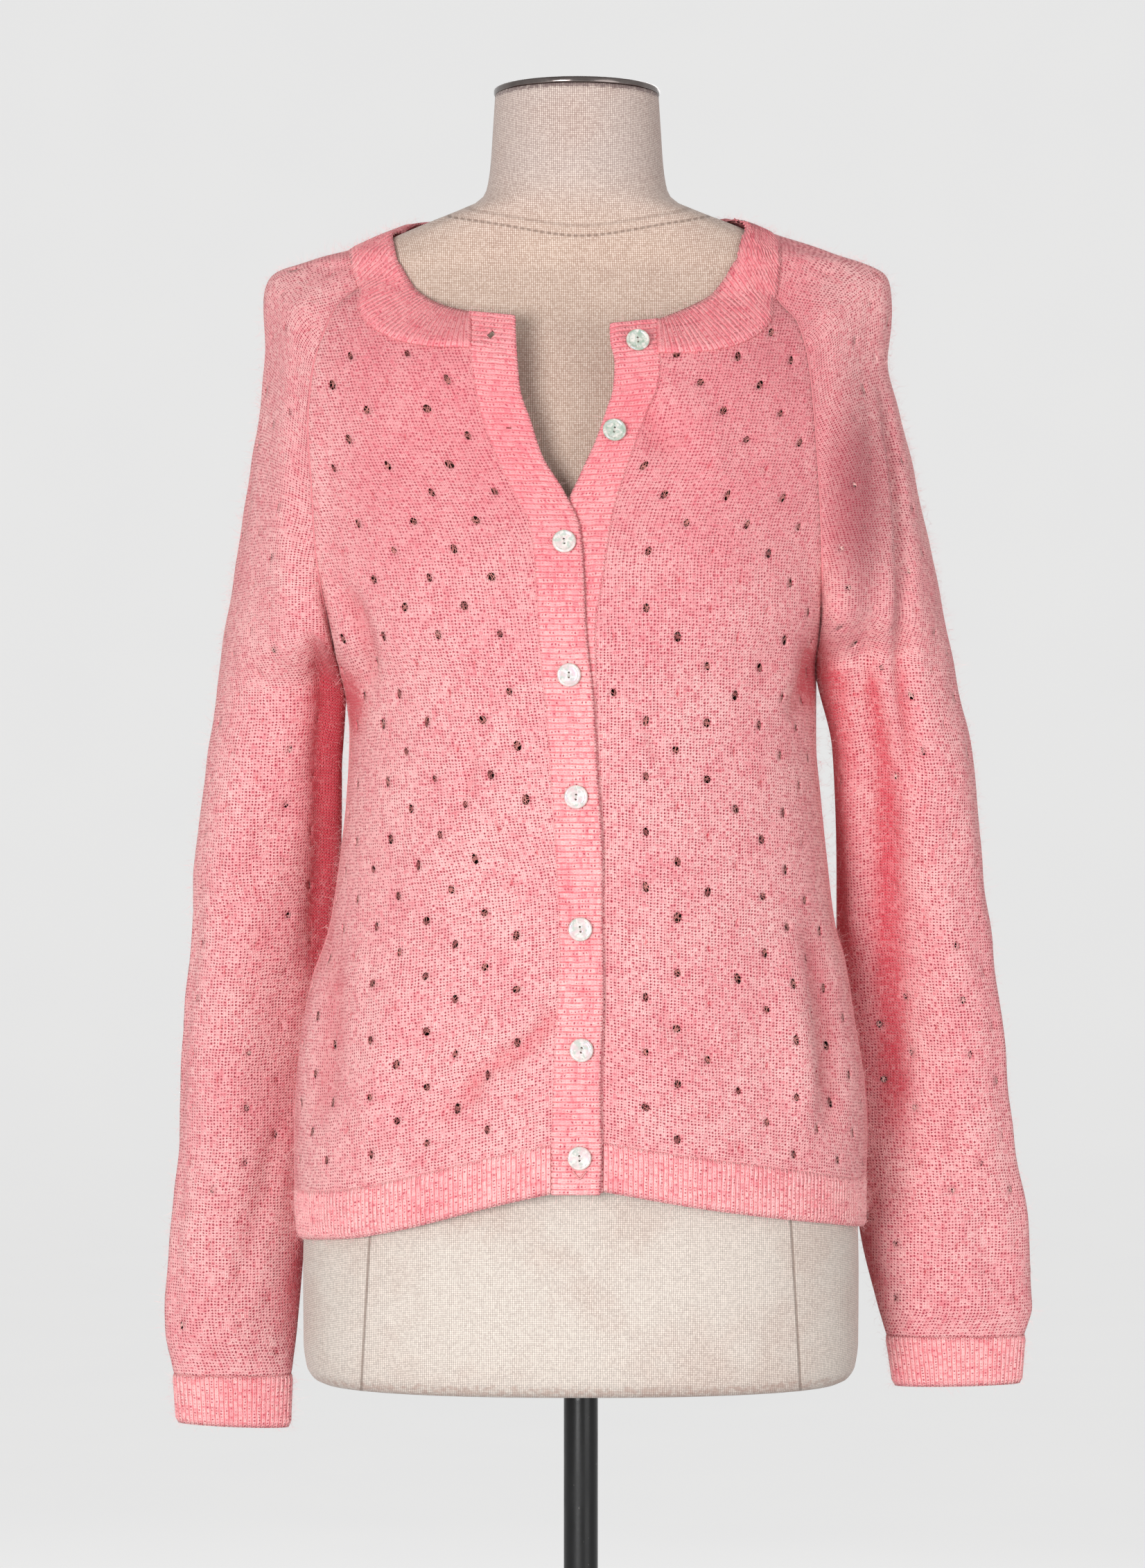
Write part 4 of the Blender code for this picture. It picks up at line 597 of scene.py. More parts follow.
def easedCloth(face, points, calm):  # a panel's surface with its creases and slack, clear of the form, and each point's painted shade
    depth = creaseDepth(face, points[..., 0], points[..., 2])
    paintedShade = bodyPaintedShade(face, points, depth * calm)
    depth = depth + slack(points[..., 0], points[..., 2], 0.0005)
    points = points - gridNormals(points) * (depth * calm)[..., None]
    return clearOfForm(points, cloth["wall"] + cloth["clearance"]), paintedShade


def calmEdges(shares, rows):  # 0 at a panel's borders and 1 a little way in
    inRows = ease(np.arange(rows) / 9) * ease((rows - 1 - np.arange(rows)) / 9)
    inShares = ease((1 - np.abs(shares)) / 0.10)
    return inRows[:, None] * inShares[None, :]


leans = {"right": (0.15, 0.22), "left": (0.0, 0.26)}  # sideways drift of the wales a metre up, above 1.0 and 1.22


# a front: rows follow the hem's edge below and are level in the yoke; it begins at its band and,
# above the band, at the neckband
def frontSheet(side):
    cell, rise = cloth["fineCell"], cloth["latticeUp"] / 16
    shares = np.linspace(0, 1, 141)
    low = hemHeightAt(side, "front", shares) + cloth["hemHeight"]
    lowCount = round((underarm[side] - low.mean()) / rise)
    yokeCount = round((raglanTop[side] - underarm[side]) / rise)
    climb = np.arange(lowCount)[:, None] / lowCount
    lowZ = low + (underarm[side] - low) * climb
    yokeZ = underarm[side] + (raglanTop[side] - underarm[side]) * np.arange(yokeCount + 1) / yokeCount
    z = np.concatenate([lowZ, np.broadcast_to(yokeZ[:, None], (yokeCount + 1, len(shares)))])
    fine, paintedShade = easedCloth("front", panelPoint(side, "front", z, shares), calmEdges(shares, len(z)))
    run = runAlong(fine)
    past = (fine[..., 0] - smoothCurve(bandLines[side], fine[..., 2])[..., 0]) * outwardSign(side)
    begin = np.array([np.interp(0, a, b) for a, b in zip(past, run)])
    top = pickUpTop[side]
    start = shareAt(side, top, smoothCurve(bandLines[side], top)[0])[0]
    turn = np.clip((z[:, 0] - top) / (raglanTop[side] - top), 0, 1) ** (1 / neckBend)
    neckShare = start + (1 - topEdge - start) * turn
    neck = np.array([np.interp(s, shares, row) for s, row in zip(neckShare, run)])
    begin = np.where(z[:, 0] > top, neck, begin) - 0.0025
    climbs = np.linspace(0, 1, 60)
    neckZ = top + (raglanTop[side] - top) * climbs**neckBend
    neckLine = panelPoint(side, "front", neckZ, start + (1 - topEdge - start) * climbs)
    neckLine = clearOfForm(neckLine, cloth["wall"] + cloth["clearance"])
    bandLine = readRows(fine, run, (begin + 0.0025)[:, None])[:, 0]
    bandLine = np.concatenate([bandLine[z[:, 0] < top - 0.001], neckLine[:1]])
    firstEyelets = lowCount + round((1.2135 - underarm[side]) / rise)
    level = z.mean(axis=1)
    lean = leans[side][0] * ease((level - 1.0) / 0.08) * (level - 1.0)
    lean = lean + leans[side][1] * ease((level - 1.22) / 0.10) * (level - 1.22)
    yoke = (np.arange(len(z)) >= lowCount)[:, None]
    hemTuck = tuckedUnder(np.arange(len(z)) * rise)[:, None]
    piece = knitPanel(
        f"knit_front_{side}", fine, paintedShade, np.arange(len(z)) * rise, 0, begin, run[:, -1], cell,
        lambda atLow, atHigh: raglanMark(atHigh) * yoke + tuckedUnder(atLow) + hemTuck,
        lattice=(0, firstEyelets), lean=lean,
    )
    return piece, bandLine, neckLine


def backSheet():  # the back: both quarters side by side, level rows drawn to each side's own heights
    cell, rise = cloth["coarseCell"], cloth["latticeUp"] / 12
    across = np.linspace(-1, 1, 281)
    share, isRight = np.abs(across), across < 0
    under = np.where(isRight, underarm["right"], underarm["left"])
    middle = (underarm["right"] + underarm["left"]) / 2
    under = middle + (under - middle) * ease(share)
    top = backNeck + (np.where(isRight, backTop["right"], backTop["left"]) - backNeck) * ease(share)
    low = np.where(isRight, *(hemHeightAt(s, "back", share) for s in sides)) + cloth["hemHeight"]
    lowCount, yokeCount = round((middle - low.mean()) / rise), round((top.mean() - middle) / rise)
    lowZ = low + (under - low) * np.arange(lowCount)[:, None] / lowCount
    z = np.concatenate([lowZ, under + (top - under) * np.arange(yokeCount + 1)[:, None] / yokeCount])
    shares = np.broadcast_to(share, z.shape)
    fine = np.where(isRight[None, :, None], *(panelPoint(s, "back", z, shares) for s in sides))
    fine[..., 0] = np.abs(fine[..., 0]) * np.where(isRight, -1, 1)
    fine, paintedShade = easedCloth("back", fine, calmEdges(across, len(z)))
    run = runAlong(fine, 140)
    yoke = (np.arange(len(z)) >= lowCount)[:, None]
    ends = tuckedUnder(np.arange(len(z)) * rise)[:, None]
    for column, inward in ((0, 0.0005), (-1, -0.0005)):
        seams.append(fine[: lowCount + 2, column] + [inward, 0, 0])
    return knitPanel(
        "knit_back", fine, paintedShade, np.arange(len(z)) * rise, 140, run[:, 0], run[:, -1], cell,
        lambda atLow, atHigh: (raglanMark(atLow) + raglanMark(atHigh)) * yoke + ends, lattice=(0, lowCount),
    ), fine[-1]


# painted shade of a sleeve: red in its folds, along its side towards the body and in the pit under the arm, and a
# dusky mauve shade, given as negative values, on the front near the top of the arm
def sleevePaintedShade(side, points, depth):
    z = points[..., 2]
    inner, seam = (smoothCurve(table[side], z)[..., 0] for table in (tube, sideSeam))
    innerX = np.where(z < underarm[side], inner, seam)
    outward = np.abs(points[..., 0] - innerX)
    low = ease((z - 0.70) / 0.18) * ease((underarm[side] + 0.03 - z) / 0.05)
    wander = 1 + 0.35 * np.sin(61 * z + 1.1) * np.sin(23 * z)
    below = ease((underarm[side] + 0.06 - z) / 0.08)
    edge = bell(outward, 0.0080 * wander) * (0.25 + 0.45 * low) * below
    pit = np.exp(-(((z - underarm[side]) / 0.034) ** 2) - (outward / 0.014) ** 2) * 0.75
    folds = np.clip((depth - 0.0032) / 0.0086, 0, 1) ** 1.4 * 0.90
    wide = foldDepth([(*row[:4], row[4] * 1.7, max(row[5], 0.0)) for row in sleeveFolds[side]], points)
    # painted red shade: a little everywhere, more in the wide folds and towards the body
    glow = 0.13 * np.clip(wide / 0.0095, 0, 1) + 0.20 * bell(outward, 0.034) * low + 0.05
    # painted dusky shade on the front near the top of the arm
    paintedDuskShade = np.exp(-(((z - 1.285) / 0.075) ** 2) - ((np.abs(points[..., 0]) - 0.172) / 0.024) ** 2)
    paintedDuskShade = paintedDuskShade * (points[..., 1] < 0.01)
    paintedDuskShade = paintedDuskShade * cloth["paintedDuskShare"][side]
    return cloth["paintedRedShare"][side] * np.clip(np.maximum(folds, np.maximum(edge, pit)) + glow, 0, 1) - paintedDuskShade


# shoulder corner: pushed out by a Gaussian in height and round the sleeve, then averaged over
# neighbouring rows, fading away from the corner
def roundedShoulder(side, fine):
    around = np.linspace(0, 1, fine.shape[1])[None]
    near = bell(around - 0.5, 0.20) * bell(fine[..., 2] - 1.420, 0.036)
    fine = fine.copy()
    fine[..., 0] += outwardSign(side) * cloth["shoulderPush"][side] * near
    soft = np.hanning(15) / np.hanning(15).sum()
    padded = np.concatenate([np.repeat(fine[:1], 7, 0), fine, np.repeat(fine[-1:], 7, 0)])
    smooth = sum(weight * padded[i : i + len(fine)] for i, weight in enumerate(soft))
    wide = bell(around - 0.5, 0.24) * bell(fine[..., 2] - 1.424, 0.040)
    return fine + (smooth - fine) * wide[..., None]


# a sleeve: level closed rings below the underarm, arcs over the shoulder above it
def sleeveSheet(side):
    cell, rise = cloth["sleeveCell"], cloth["latticeUp"] / 14
    low = tube[side][1][0]
    tubeCount = round((underarm[side] - low) / rise)
    ridge = smoothCurve(shoulder[side], np.linspace(0, 1, 60))[:, :3]
    yokeCount = round(runAlong(ridge[None])[0, -1] / rise)
    rings = tubeRings(side, low + (underarm[side] - low) * np.arange(tubeCount) / tubeCount, 201)
    arcs = yokeRings(side, np.arange(yokeCount + 1) / yokeCount, 201)
    fine = roundedShoulder(side, np.concatenate([rings, arcs]))
    normals = gridNormals(fine)
    middle = fine.mean(axis=1, keepdims=True)
    wrong = (normals * (fine - middle)).sum(axis=(1, 2)) < 0
    normals[wrong] = -normals[wrong]
    around = np.linspace(0, 1, 201)[None]
    calm = ease(around / 0.06) * ease((1 - around) / 0.06)
    calm = calm * (ease(np.arange(len(fine)) / 9) * ease((len(fine) - 1 - np.arange(len(fine))) / 9))[:, None]
    depth = foldDepth(sleeveFolds[side], fine) + foldDepth(sleeveCreases[side], fine) * calm
    paintedShade = sleevePaintedShade(side, fine, depth)
    depth = depth + slack(fine[..., 0] + fine[..., 1], fine[..., 2], 0.0009) * calm
    fine = clearOfForm(fine - normals * depth[..., None], cloth["wall"] + cloth["clearance"])
    sunk = fine[tubeCount - 3 :] - gridNormals(fine)[tubeCount - 3 :] * 0.0010
    seams.extend([sunk[:, 0], sunk[:, -1]])
    run = runAlong(fine, 100)
    yoke = (np.arange(len(fine)) >= tubeCount)[:, None]
    ends = tuckedUnder(np.arange(len(fine)) * rise)[:, None]
    return knitPanel(
        f"knit_sleeve_{side}", fine, paintedShade, np.arange(len(fine)) * rise, 100, run[:, 0], run[:, -1], cell,
        lambda atLow, atHigh: (raglanMark(atLow) + raglanMark(atHigh)) * yoke + ends,
        shut=tubeCount, lattice=(0, tubeCount), openShare=cloth["openSleeve"], small=cloth["smallSleeve"],
    ), fine[-1]


# ribbing: the base surface raised by |sin(pi * phase)|^0.8, phase counted in ribs
def ribbing(name, base, phase, lengthwise, pitch, edges, closed=False, openings=()):
    normals = gridNormals(base[:, :-1] if closed else base, closed)
    if closed:
        normals = np.concatenate([normals, normals[:, :1]], axis=1)
    height = cloth["rib"] * np.abs(np.sin(np.pi * phase)) ** 0.8 * edges[0] - edges[1]
    points = base + normals * height[..., None]
    rows, columns = phase.shape
    weld = welded(rows, columns, closed)
    flat = points.reshape(-1, 3)
    quads = facingOut(flat, gridQuads(rows, columns).reshape(-1, 4), normals.reshape(-1, 3))
    for x, z, halfX, halfZ in openings:  # points inside an oval move out to its edge, whole cells go
        aside = (flat[:, [0, 2]] - [x, z]) / [halfX, halfZ]
        reach = np.hypot(aside[:, 0], aside[:, 1])
        inside = reach < 1
        aside = aside / np.maximum(reach, 1e-6)[:, None]
        quads = quads[~inside[quads].all(axis=1)]
        flat[inside, 0] = x + aside[inside, 0] * halfX
        flat[inside, 2] = z + aside[inside, 1] * halfZ
    uv = np.stack([phase * pitch, lengthwise], axis=-1).reshape(-1, 2)
    # painted shade in the valleys between the ribs
    paintedValleyShade = (1 - np.abs(np.sin(np.pi * phase)) ** 0.5).ravel() * 0.52
    return shell(meshPiece(name, flat, [quads], uv, weld.ravel(), paintedValleyShade), cloth["ribWall"])


def softEdges(rows, columns, first, last):  # rib height and roll at the two ends of a strip's rows
    place = np.linspace(0, 1, rows)[:, None] + np.zeros((1, columns))
    rise = (1 - first * (1 - ease(place / 0.10))) * (1 - last * (1 - ease((1 - place) / 0.10)))
    roll = 0.0007 * (first * (1 - ease(place / 0.06)) + last * (1 - ease((1 - place) / 0.06)))
    return rise, roll


perRib = 5


def hemSheet(name, face, shares, side=None):  # hem: shares at even steps, straight down from the panel
    rows = 9
    up = np.linspace(0, 1, rows)[:, None] * (cloth["hemHeight"] + 0.0015)
    share = np.broadcast_to(np.abs(shares), (rows, len(shares)))
    if face == "front":
        base = panelPoint(side, "front", hemHeightAt(side, "front", share) + up, share)
    else:
        isRight = (shares < 0)[None, :, None]
        base = np.where(isRight, *(panelPoint(s, "back", hemHeightAt(s, "back", share) + up, share) for s in sides))
    base = clearOfForm(base, cloth["ribWall"] + cloth["clearance"])
    sway = 0.0006 * np.sin(np.linspace(0, len(shares) / 40, len(shares)) + 1.0) * np.linspace(1, 0, rows)[:, None]
    base[..., 2] += sway
    phase = np.broadcast_to(np.arange(len(shares)) / perRib, (rows, len(shares)))
    lengthwise = np.broadcast_to(up, phase.shape)
    return ribbing(name, base, phase, lengthwise, cloth["pitchHem"], softEdges(*phase.shape, 1.0, 0.55))


def evenShares(side, face, z, start):  # shares at even steps along the surface, a whole number of ribs
    many = np.linspace(start, 1, 400)
    run = runAlong(panelPoint(side, face, np.full(400, z), many)[None])[0]
    count = round(run[-1] / cloth["pitchHem"]) * perRib + 1
    return np.interp(np.linspace(0, run[-1], count), run, many)


def cuffSheet(side):  # cuff: rings between its two heights, its lower edge a little tilted
    low, high = tube[side][0][0], tube[side][1][0]
    rows = 10
    rings = tubeRings(side, np.linspace(low, high, rows), 401)
    count = round(runAlong(rings[-1:])[0, -1] / cloth["pitchHem"]) * perRib + 1
    base = np.array([evenPath(ring, count) for ring in rings])
    down = np.linspace(1, 0, rows)[:, None]
    tilt = {"right": -0.040, "left": 0.020}[side]
    base[..., 2] += down * tilt * (base[..., 0] - base[..., 0].mean())
    phase = np.broadcast_to(np.arange(count) / perRib, (rows, count))
    lengthwise = np.broadcast_to(np.linspace(0, high - low, rows)[:, None], phase.shape)
    edges = softEdges(rows, count, 1.0, 0.55)
    return ribbing(f"knit_cuff_{side}", base, phase, lengthwise, cloth["pitchHem"], edges, closed=True)


def pickUpPath(side, border):  # where a band is knitted on: its hem, its front, the end of the neckband
    start = shareAt(side, cloth["pickUpLow"], smoothCurve(bandLines[side], cloth["pickUpLow"])[0])[0]
    low = float(hemHeightAt(side, "front", start))
    heights = np.array([low, low + cloth["hemHeight"] * 0.5, low + cloth["hemHeight"]])
    hem = panelPoint(side, "front", heights, np.full(3, start))
    hem = clearOfForm(hem, cloth["ribWall"] + cloth["clearance"])
    front = border[border[:, 2] > heights[-1] + 0.001]
    upper = smoothCurve(neckInner, 0.0 if side == "right" else 1.0)
    return np.concatenate([hem, front, [(front[-1] + upper) / 2, upper]])


# a band's surface: straight across from the pick-up line to the free edge, at shares up its path
def bandSurface(side, path, share, across):
    z = path[0, 2] + (path[-1, 2] - path[0, 2]) * share
    joined = np.stack([np.interp(z, path[:, 2], path[:, 0]), np.interp(z, path[:, 2], path[:, 1]), z], -1)
    edgeZ = z - cloth["bandDrop"] * share**8
    edgeX = smoothCurve(bandLines[side], edgeZ)[:, 1]
    free = bodyPoint(side, "front", edgeZ, shareAt(side, edgeZ, edgeX))
    free[:, 0] = edgeX
    free[:, 1] -= cloth["lap"] if side == "right" else 0.0
    return joined[:, None] + (free - joined)[:, None] * across[None, :, None]


# the two open buttonholes: x, height, half width, half height
buttonholes = ((-0.0555, 1.3830, 0.0024, 0.0034), (-0.0440, 1.3225, 0.0017, 0.0030))


def bandSheet(side, path):
    length = runAlong(path[None])[0, -1]
    ribCount = round(length / cloth["pitchBand"])
    share = np.linspace(0, 1, ribCount * perRib + 1)
    across = np.linspace(0, 1, 14)
    base = bandSurface(side, path, share, across)
    rows, columns = len(share), len(across)
    wander = 0.0004 * np.sin(share * 37)[:, None] * across[None]
    base[..., 0] += wander
    phase = np.broadcast_to(share[:, None] * ribCount, (rows, columns))
    lengthwise = np.broadcast_to(across[None] * 0.026, phase.shape)
    joint = ease((pickUpTop[side] - base[:, :1, 2]) / 0.004)  # 0 beside the neckband
    rise = 1 - 0.5 * bell(1 - across, 0.04) - 0.7 * joint * bell(across, 0.06)
    roll = 0.0007 * bell(1 - across, 0.03) + 0.0004 * joint * bell(across, 0.04)
    edges = (rise, roll)
    openings = buttonholes if side == "right" else ()
    return ribbing(
        f"knit_band_{side}", base, phase, lengthwise, cloth["pitchBand"], edges, openings=openings
    )


def neckbandSheet(neckLines, upperEdges):  # neckband: from the panels' neck edges up to the neck opening
    chain = [neckLines["right"], upperEdges["sleeve_right"], upperEdges["back"]]
    chain = np.concatenate(chain + [upperEdges["sleeve_left"][::-1], neckLines["left"][::-1]])
    far = np.concatenate([[True], np.linalg.norm(np.diff(chain, axis=0), axis=1) > 0.0004])
    chain = chain[far]
    ribCount = round(runAlong(chain[None])[0, -1] / cloth["pitchBand"])
    count = ribCount * perRib + 1
    outer = evenPath(chain, count)
    soft = np.hanning(61) / np.hanning(61).sum()
    padded = np.concatenate([np.repeat(outer[:1], 30, 0), outer, np.repeat(outer[-1:], 30, 0)])
    smooth = np.stack([np.convolve(padded[:, k], soft, "valid") for k in range(3)], axis=-1)
    ends = ease(np.minimum(np.arange(count), count - 1 - np.arange(count)) / 40)[:, None]
    outer = outer * (1 - 0.7 * ends) + smooth * 0.7 * ends
    inner = smoothCurve(neckInner, np.linspace(0, 1, count))
    rows = 10
    up = np.linspace(0, 1, rows)[:, None]
    base = outer[None] + (inner - outer)[None] * (up * 1.07 - 0.07)[..., None]
    for first, second in ((0, 1), (-1, -2)):  # both ends reach under the bands
        way = base[:, first] - base[:, second]
        base[:, first] += way / np.linalg.norm(way, axis=1, keepdims=True) * 0.0016
    base = clearOfForm(base, cloth["ribWall"] + cloth["clearance"] + cloth["neckClearance"])
    phase = np.broadcast_to(np.arange(count)[None] / perRib, (rows, count))
    lengthwise = np.broadcast_to(up * 0.026, phase.shape)
    rise, roll = softEdges(rows, count, 0.5, 1.0)
    crown = 0.0008 * np.sin(np.pi * up) + 0.0006 * (1 - up)
    return ribbing("knit_neckband", base, phase, lengthwise, cloth["pitchBand"], (rise, roll - crown))


print("knitted panels")
knit, bandBorders, neckLines, upperEdges = {}, {}, {}, {}
for side in sides:
    knit[f"front_{side}"], bandBorders[side], neckLines[side] = frontSheet(side)
knit["back"], upperEdges["back"] = backSheet()
for side in sides:
    knit[f"sleeve_{side}"], upperEdges[f"sleeve_{side}"] = sleeveSheet(side)

print("ribbing")
paths = {}
for side in sides:
    pickShare = shareAt(side, cloth["pickUpLow"], smoothCurve(bandLines[side], cloth["pickUpLow"])[0])[0]
    shares = evenShares(side, "front", cloth["pickUpLow"], pickShare)
    knit[f"hem_front_{side}"] = hemSheet(f"knit_hem_front_{side}", "front", shares, side)
    knit[f"cuff_{side}"] = cuffSheet(side)
    paths[side] = pickUpPath(side, bandBorders[side])
    knit[f"band_{side}"] = bandSheet(side, paths[side])
halves = [evenShares(side, "back", cloth["backHem"], 0.0) for side in sides]
knit["hem_back"] = hemSheet("knit_hem_back", "back", np.concatenate([-halves[0][::-1], halves[1][1:]]))
knit["neckband"] = neckbandSheet(neckLines, upperEdges)

# dress form values a user may change
form = dict(
    columns=144, rows=170, neckSeam=(1.4500, 0.021), seamDepth=0.0007, seamWidth=0.0011,
    princessX=0.131, capRadius=0.0528, capThickness=0.0040, poleRadius=0.0108,
    baseRadius=0.180, baseThickness=0.010,
)


# torso: rings read smoothly from the table, pressed in along the neck seam
def torsoSheet():
    rows, columns = form["rows"], form["columns"]
    low, high = formRings[0][0], formRings[-1][0]
    z = np.concatenate([np.linspace(low, low + 0.03, 30, endpoint=False), np.linspace(low + 0.03, high, rows)])
    middle, half, front, back, power = (v[:, None] for v in np.moveaxis(smoothCurve(formRings, z), -1, 0))
    turn = np.linspace(0, 2 * np.pi, columns + 1)[None]
    cos, sin = np.cos(turn), np.sin(turn)
    x = middle + half * np.sign(cos) * np.abs(cos) ** (2 / power)
    y = np.where(sin < 0, front, back) * np.sign(sin) * np.abs(sin) ** (2 / power)
    points = np.stack([x, y, np.broadcast_to(z[:, None], x.shape)], axis=-1)
    normals = gridNormals(points[:, :-1], True)
    normals = np.concatenate([normals, normals[:, :1]], axis=1)
    seamZ = form["neckSeam"][0] + form["neckSeam"][1] * (1 + sin)
    wide = form["seamWidth"]
    groove = bell(points[..., 2] - seamZ, wide)
    swell = bell(points[..., 2] - seamZ - 0.006, 0.003)
    points = points - normals * (form["seamDepth"] * groove - 0.0003 * swell)[..., None]
    tall = z[:, None] + 0 * x
    uv = np.stack([runAlong(points, columns * 3 // 4), tall], axis=-1)
    count, across = tall.shape
    weld = welded(count, across)
    flat = points.reshape(-1, 3)
    quads = facingOut(flat, gridQuads(count, across).reshape(-1, 4), normals.reshape(-1, 3))
    # round plates close both ends: rings drawn in to the middle
    plate = 12  # rings of a plate
    ends, endUv, endPolys, first = [flat], [uv.reshape(-1, 2)], [quads], count * across
    welds = [weld.ravel()]
    for row, up in ((0, -1), (count - 1, 1)):
        centre = points[row].mean(axis=0)
        shrink = np.linspace(1, 0.02, plate)[:, None, None]
        disc = centre + (points[row][None] - centre) * shrink
        discUv = disc[..., :2] + 0.5
        numbers = np.arange(plate * across).reshape(plate, across) + first
        discWeld = welded(plate, across) + first
        discWeld[0] = weld[row]
        cells = gridQuads(plate, across).reshape(-1, 4) + first
        ends.append(disc.reshape(-1, 3))
        endUv.append(discUv.reshape(-1, 2))
        welds.append(discWeld.ravel())
        a, b, d = (disc.reshape(-1, 3)[cells[0, k] - first] for k in (0, 1, 3))
        endPolys.append(cells if np.cross(b - a, d - a)[2] * up > 0 else cells[:, ::-1])
        cap = numbers[-1][:-1]
        hub = first + plate * across
        ends.append(centre[None])
        endUv.append(np.full((1, 2), 0.5))
        welds.append(np.array([hub]))
        fan = np.stack([cap, np.roll(cap, -1), np.full(len(cap), hub)], -1)
        endPolys.append(fan if (endPolys[-1] is cells) else fan[:, ::-1])
        first = hub + 1
    return meshPiece("linen_torso", np.concatenate(ends), endPolys, np.concatenate(endUv), np.concatenate(welds))


# turned part: a profile of (radius, height) carried round the Z axis through (x, y)
def turned(name, profile, centre, columns=96, wobble=0.0):
    profile = np.array(profile, float)
    turn = np.linspace(0, 2 * np.pi, columns + 1)[None]
    radius = profile[:, :1] + wobble * np.sin(turn * 5) * (profile[:, :1] > 0)
    points = np.stack(
        [centre[0] + radius * np.cos(turn), centre[1] + radius * np.sin(turn), profile[:, 1:] + 0 * turn], -1
    )
    rows, across = points.shape[:2]
    weld = welded(rows, across)
    for row in (0, rows - 1):
        if profile[row, 0] < 1e-6:
            weld[row] = weld[row, 0]
    quads = gridQuads(rows, across).reshape(-1, 4)
    run = runAlong(profile[None])[0]
    uv = np.stack([turn / (2 * np.pi) * 0.3 + 0 * radius, run[:, None] + 0 * radius], -1).reshape(-1, 2)
    polys = []
    lower, upper = profile[0, 0] < 1e-6, profile[-1, 0] < 1e-6
    body = np.arange(len(quads))
    isFirst, isLast = body < across - 1, body >= (rows - 2) * (across - 1)
    keep = ~(isFirst & lower) & ~(isLast & upper)
    polys.append(quads[keep])
    if lower:
        polys.append(quads[isFirst][:, [0, 2, 3]])
    if upper:
        polys.append(quads[isLast][:, [0, 1, 2]])
    return meshPiece(name, points.reshape(-1, 3), polys, uv, weld.ravel())


def roundedEdge(radius, z, turnIn, up, steps=6):  # quarter circle from the side onto a face
    a = np.linspace(0, np.pi / 2, steps)
    return [(radius - turnIn + turnIn * math.cos(t), z + up * (turnIn * math.sin(t) - turnIn)) for t in a]


print("dress form")
stand = {"torso": torsoSheet()}
capZ = formRings[-1][0] + 0.0003
capMiddle = (formRings[-1][1], 0.0)
capRadius, capThickness = form["capRadius"], form["capThickness"]
capProfile = [(0, capZ), (capRadius - 0.004, capZ)]
capProfile += roundedEdge(capRadius, capZ, 0.0012, -1)[::-1]
capProfile = [(r, max(z, capZ)) for r, z in capProfile]
capProfile += roundedEdge(capRadius, capZ + capThickness, 0.0016, 1)
capProfile += [(capRadius - 0.006, capZ + capThickness - 0.0001), (capRadius - 0.0075, capZ + capThickness - 0.0006)]
capProfile += [(capRadius - 0.012, capZ + capThickness - 0.0004), (0.006, capZ + capThickness - 0.0002)]
capProfile += [(0, capZ + capThickness - 0.0002)]
stand["cap"] = turned("steel_neck_cap", capProfile, capMiddle, 128)
poleTop, poleLow, poleRadius = formRings[0][0] - 0.0003, form["baseThickness"] + 0.0003, form["poleRadius"]
poleProfile = [(0, poleLow)] + [(poleRadius, z) for z in np.linspace(poleLow, poleTop, 60)] + [(0, poleTop)]
stand["pole"] = turned("painted_pole", poleProfile, (0, 0), 64)
baseRadius, baseThickness = form["baseRadius"], form["baseThickness"]
baseProfile = [(0, 0), (baseRadius - 0.004, 0), (baseRadius - 0.0015, 0.0004), (baseRadius, 0.002)]
baseProfile += roundedEdge(baseRadius, baseThickness, 0.003, 1)
baseProfile += [(baseRadius * f, baseThickness) for f in (0.9, 0.7, 0.5, 0.3)]
baseProfile += [(0.030, baseThickness), (0, baseThickness)]
stand["base"] = turned("painted_base", baseProfile, (0, 0), 160)

# buttons: x, height, closed over the lapping band
button = dict(radius=0.00725, thickness=0.0024, hole=0.00065, holePitch=0.0027)
buttons = (
    (0.0349, 1.3796, False), (0.0203, 1.3225, False), (-0.0101, 1.2527, True), (-0.0071, 1.1718, True),
    (-0.0029, 1.0980, True), (-0.0004, 1.0178, True), (0.0004, 0.9443, True), (-0.0008, 0.8792, True),
)
hangs = (0.60, 0.20, 0, 0, 0, 0, 0, 0)  # how far a button hangs level on its thread


def bandPlace(side, x, z, forward, level=0.0):  # place and axes (across, up, out) of a band's surface at x and z
    path = paths[side]
    share = (z - path[0, 2]) / (path[-1, 2] - path[0, 2])
    two = bandSurface(side, path, np.array([share, share + 0.012]), np.array([0.0, 1.0]))
    pick, edge, above = two[0, 0], two[0, 1], two[1, 0]
    here = pick + (edge - pick) * (x - pick[0]) / (edge[0] - pick[0])
    out = np.cross(edge - pick, above - pick)
    out = out / np.linalg.norm(out) * (1 if out[1] < 0 else -1) * (1 - level) + np.array([0, -level, 0])
    out = out / np.linalg.norm(out)
    up = np.cross(out, [1, 0, 0])
    up = up / np.linalg.norm(up) * (1 if up[2] > 0 else -1)
    return here + out * forward, np.stack([np.cross(up, out), up, out])


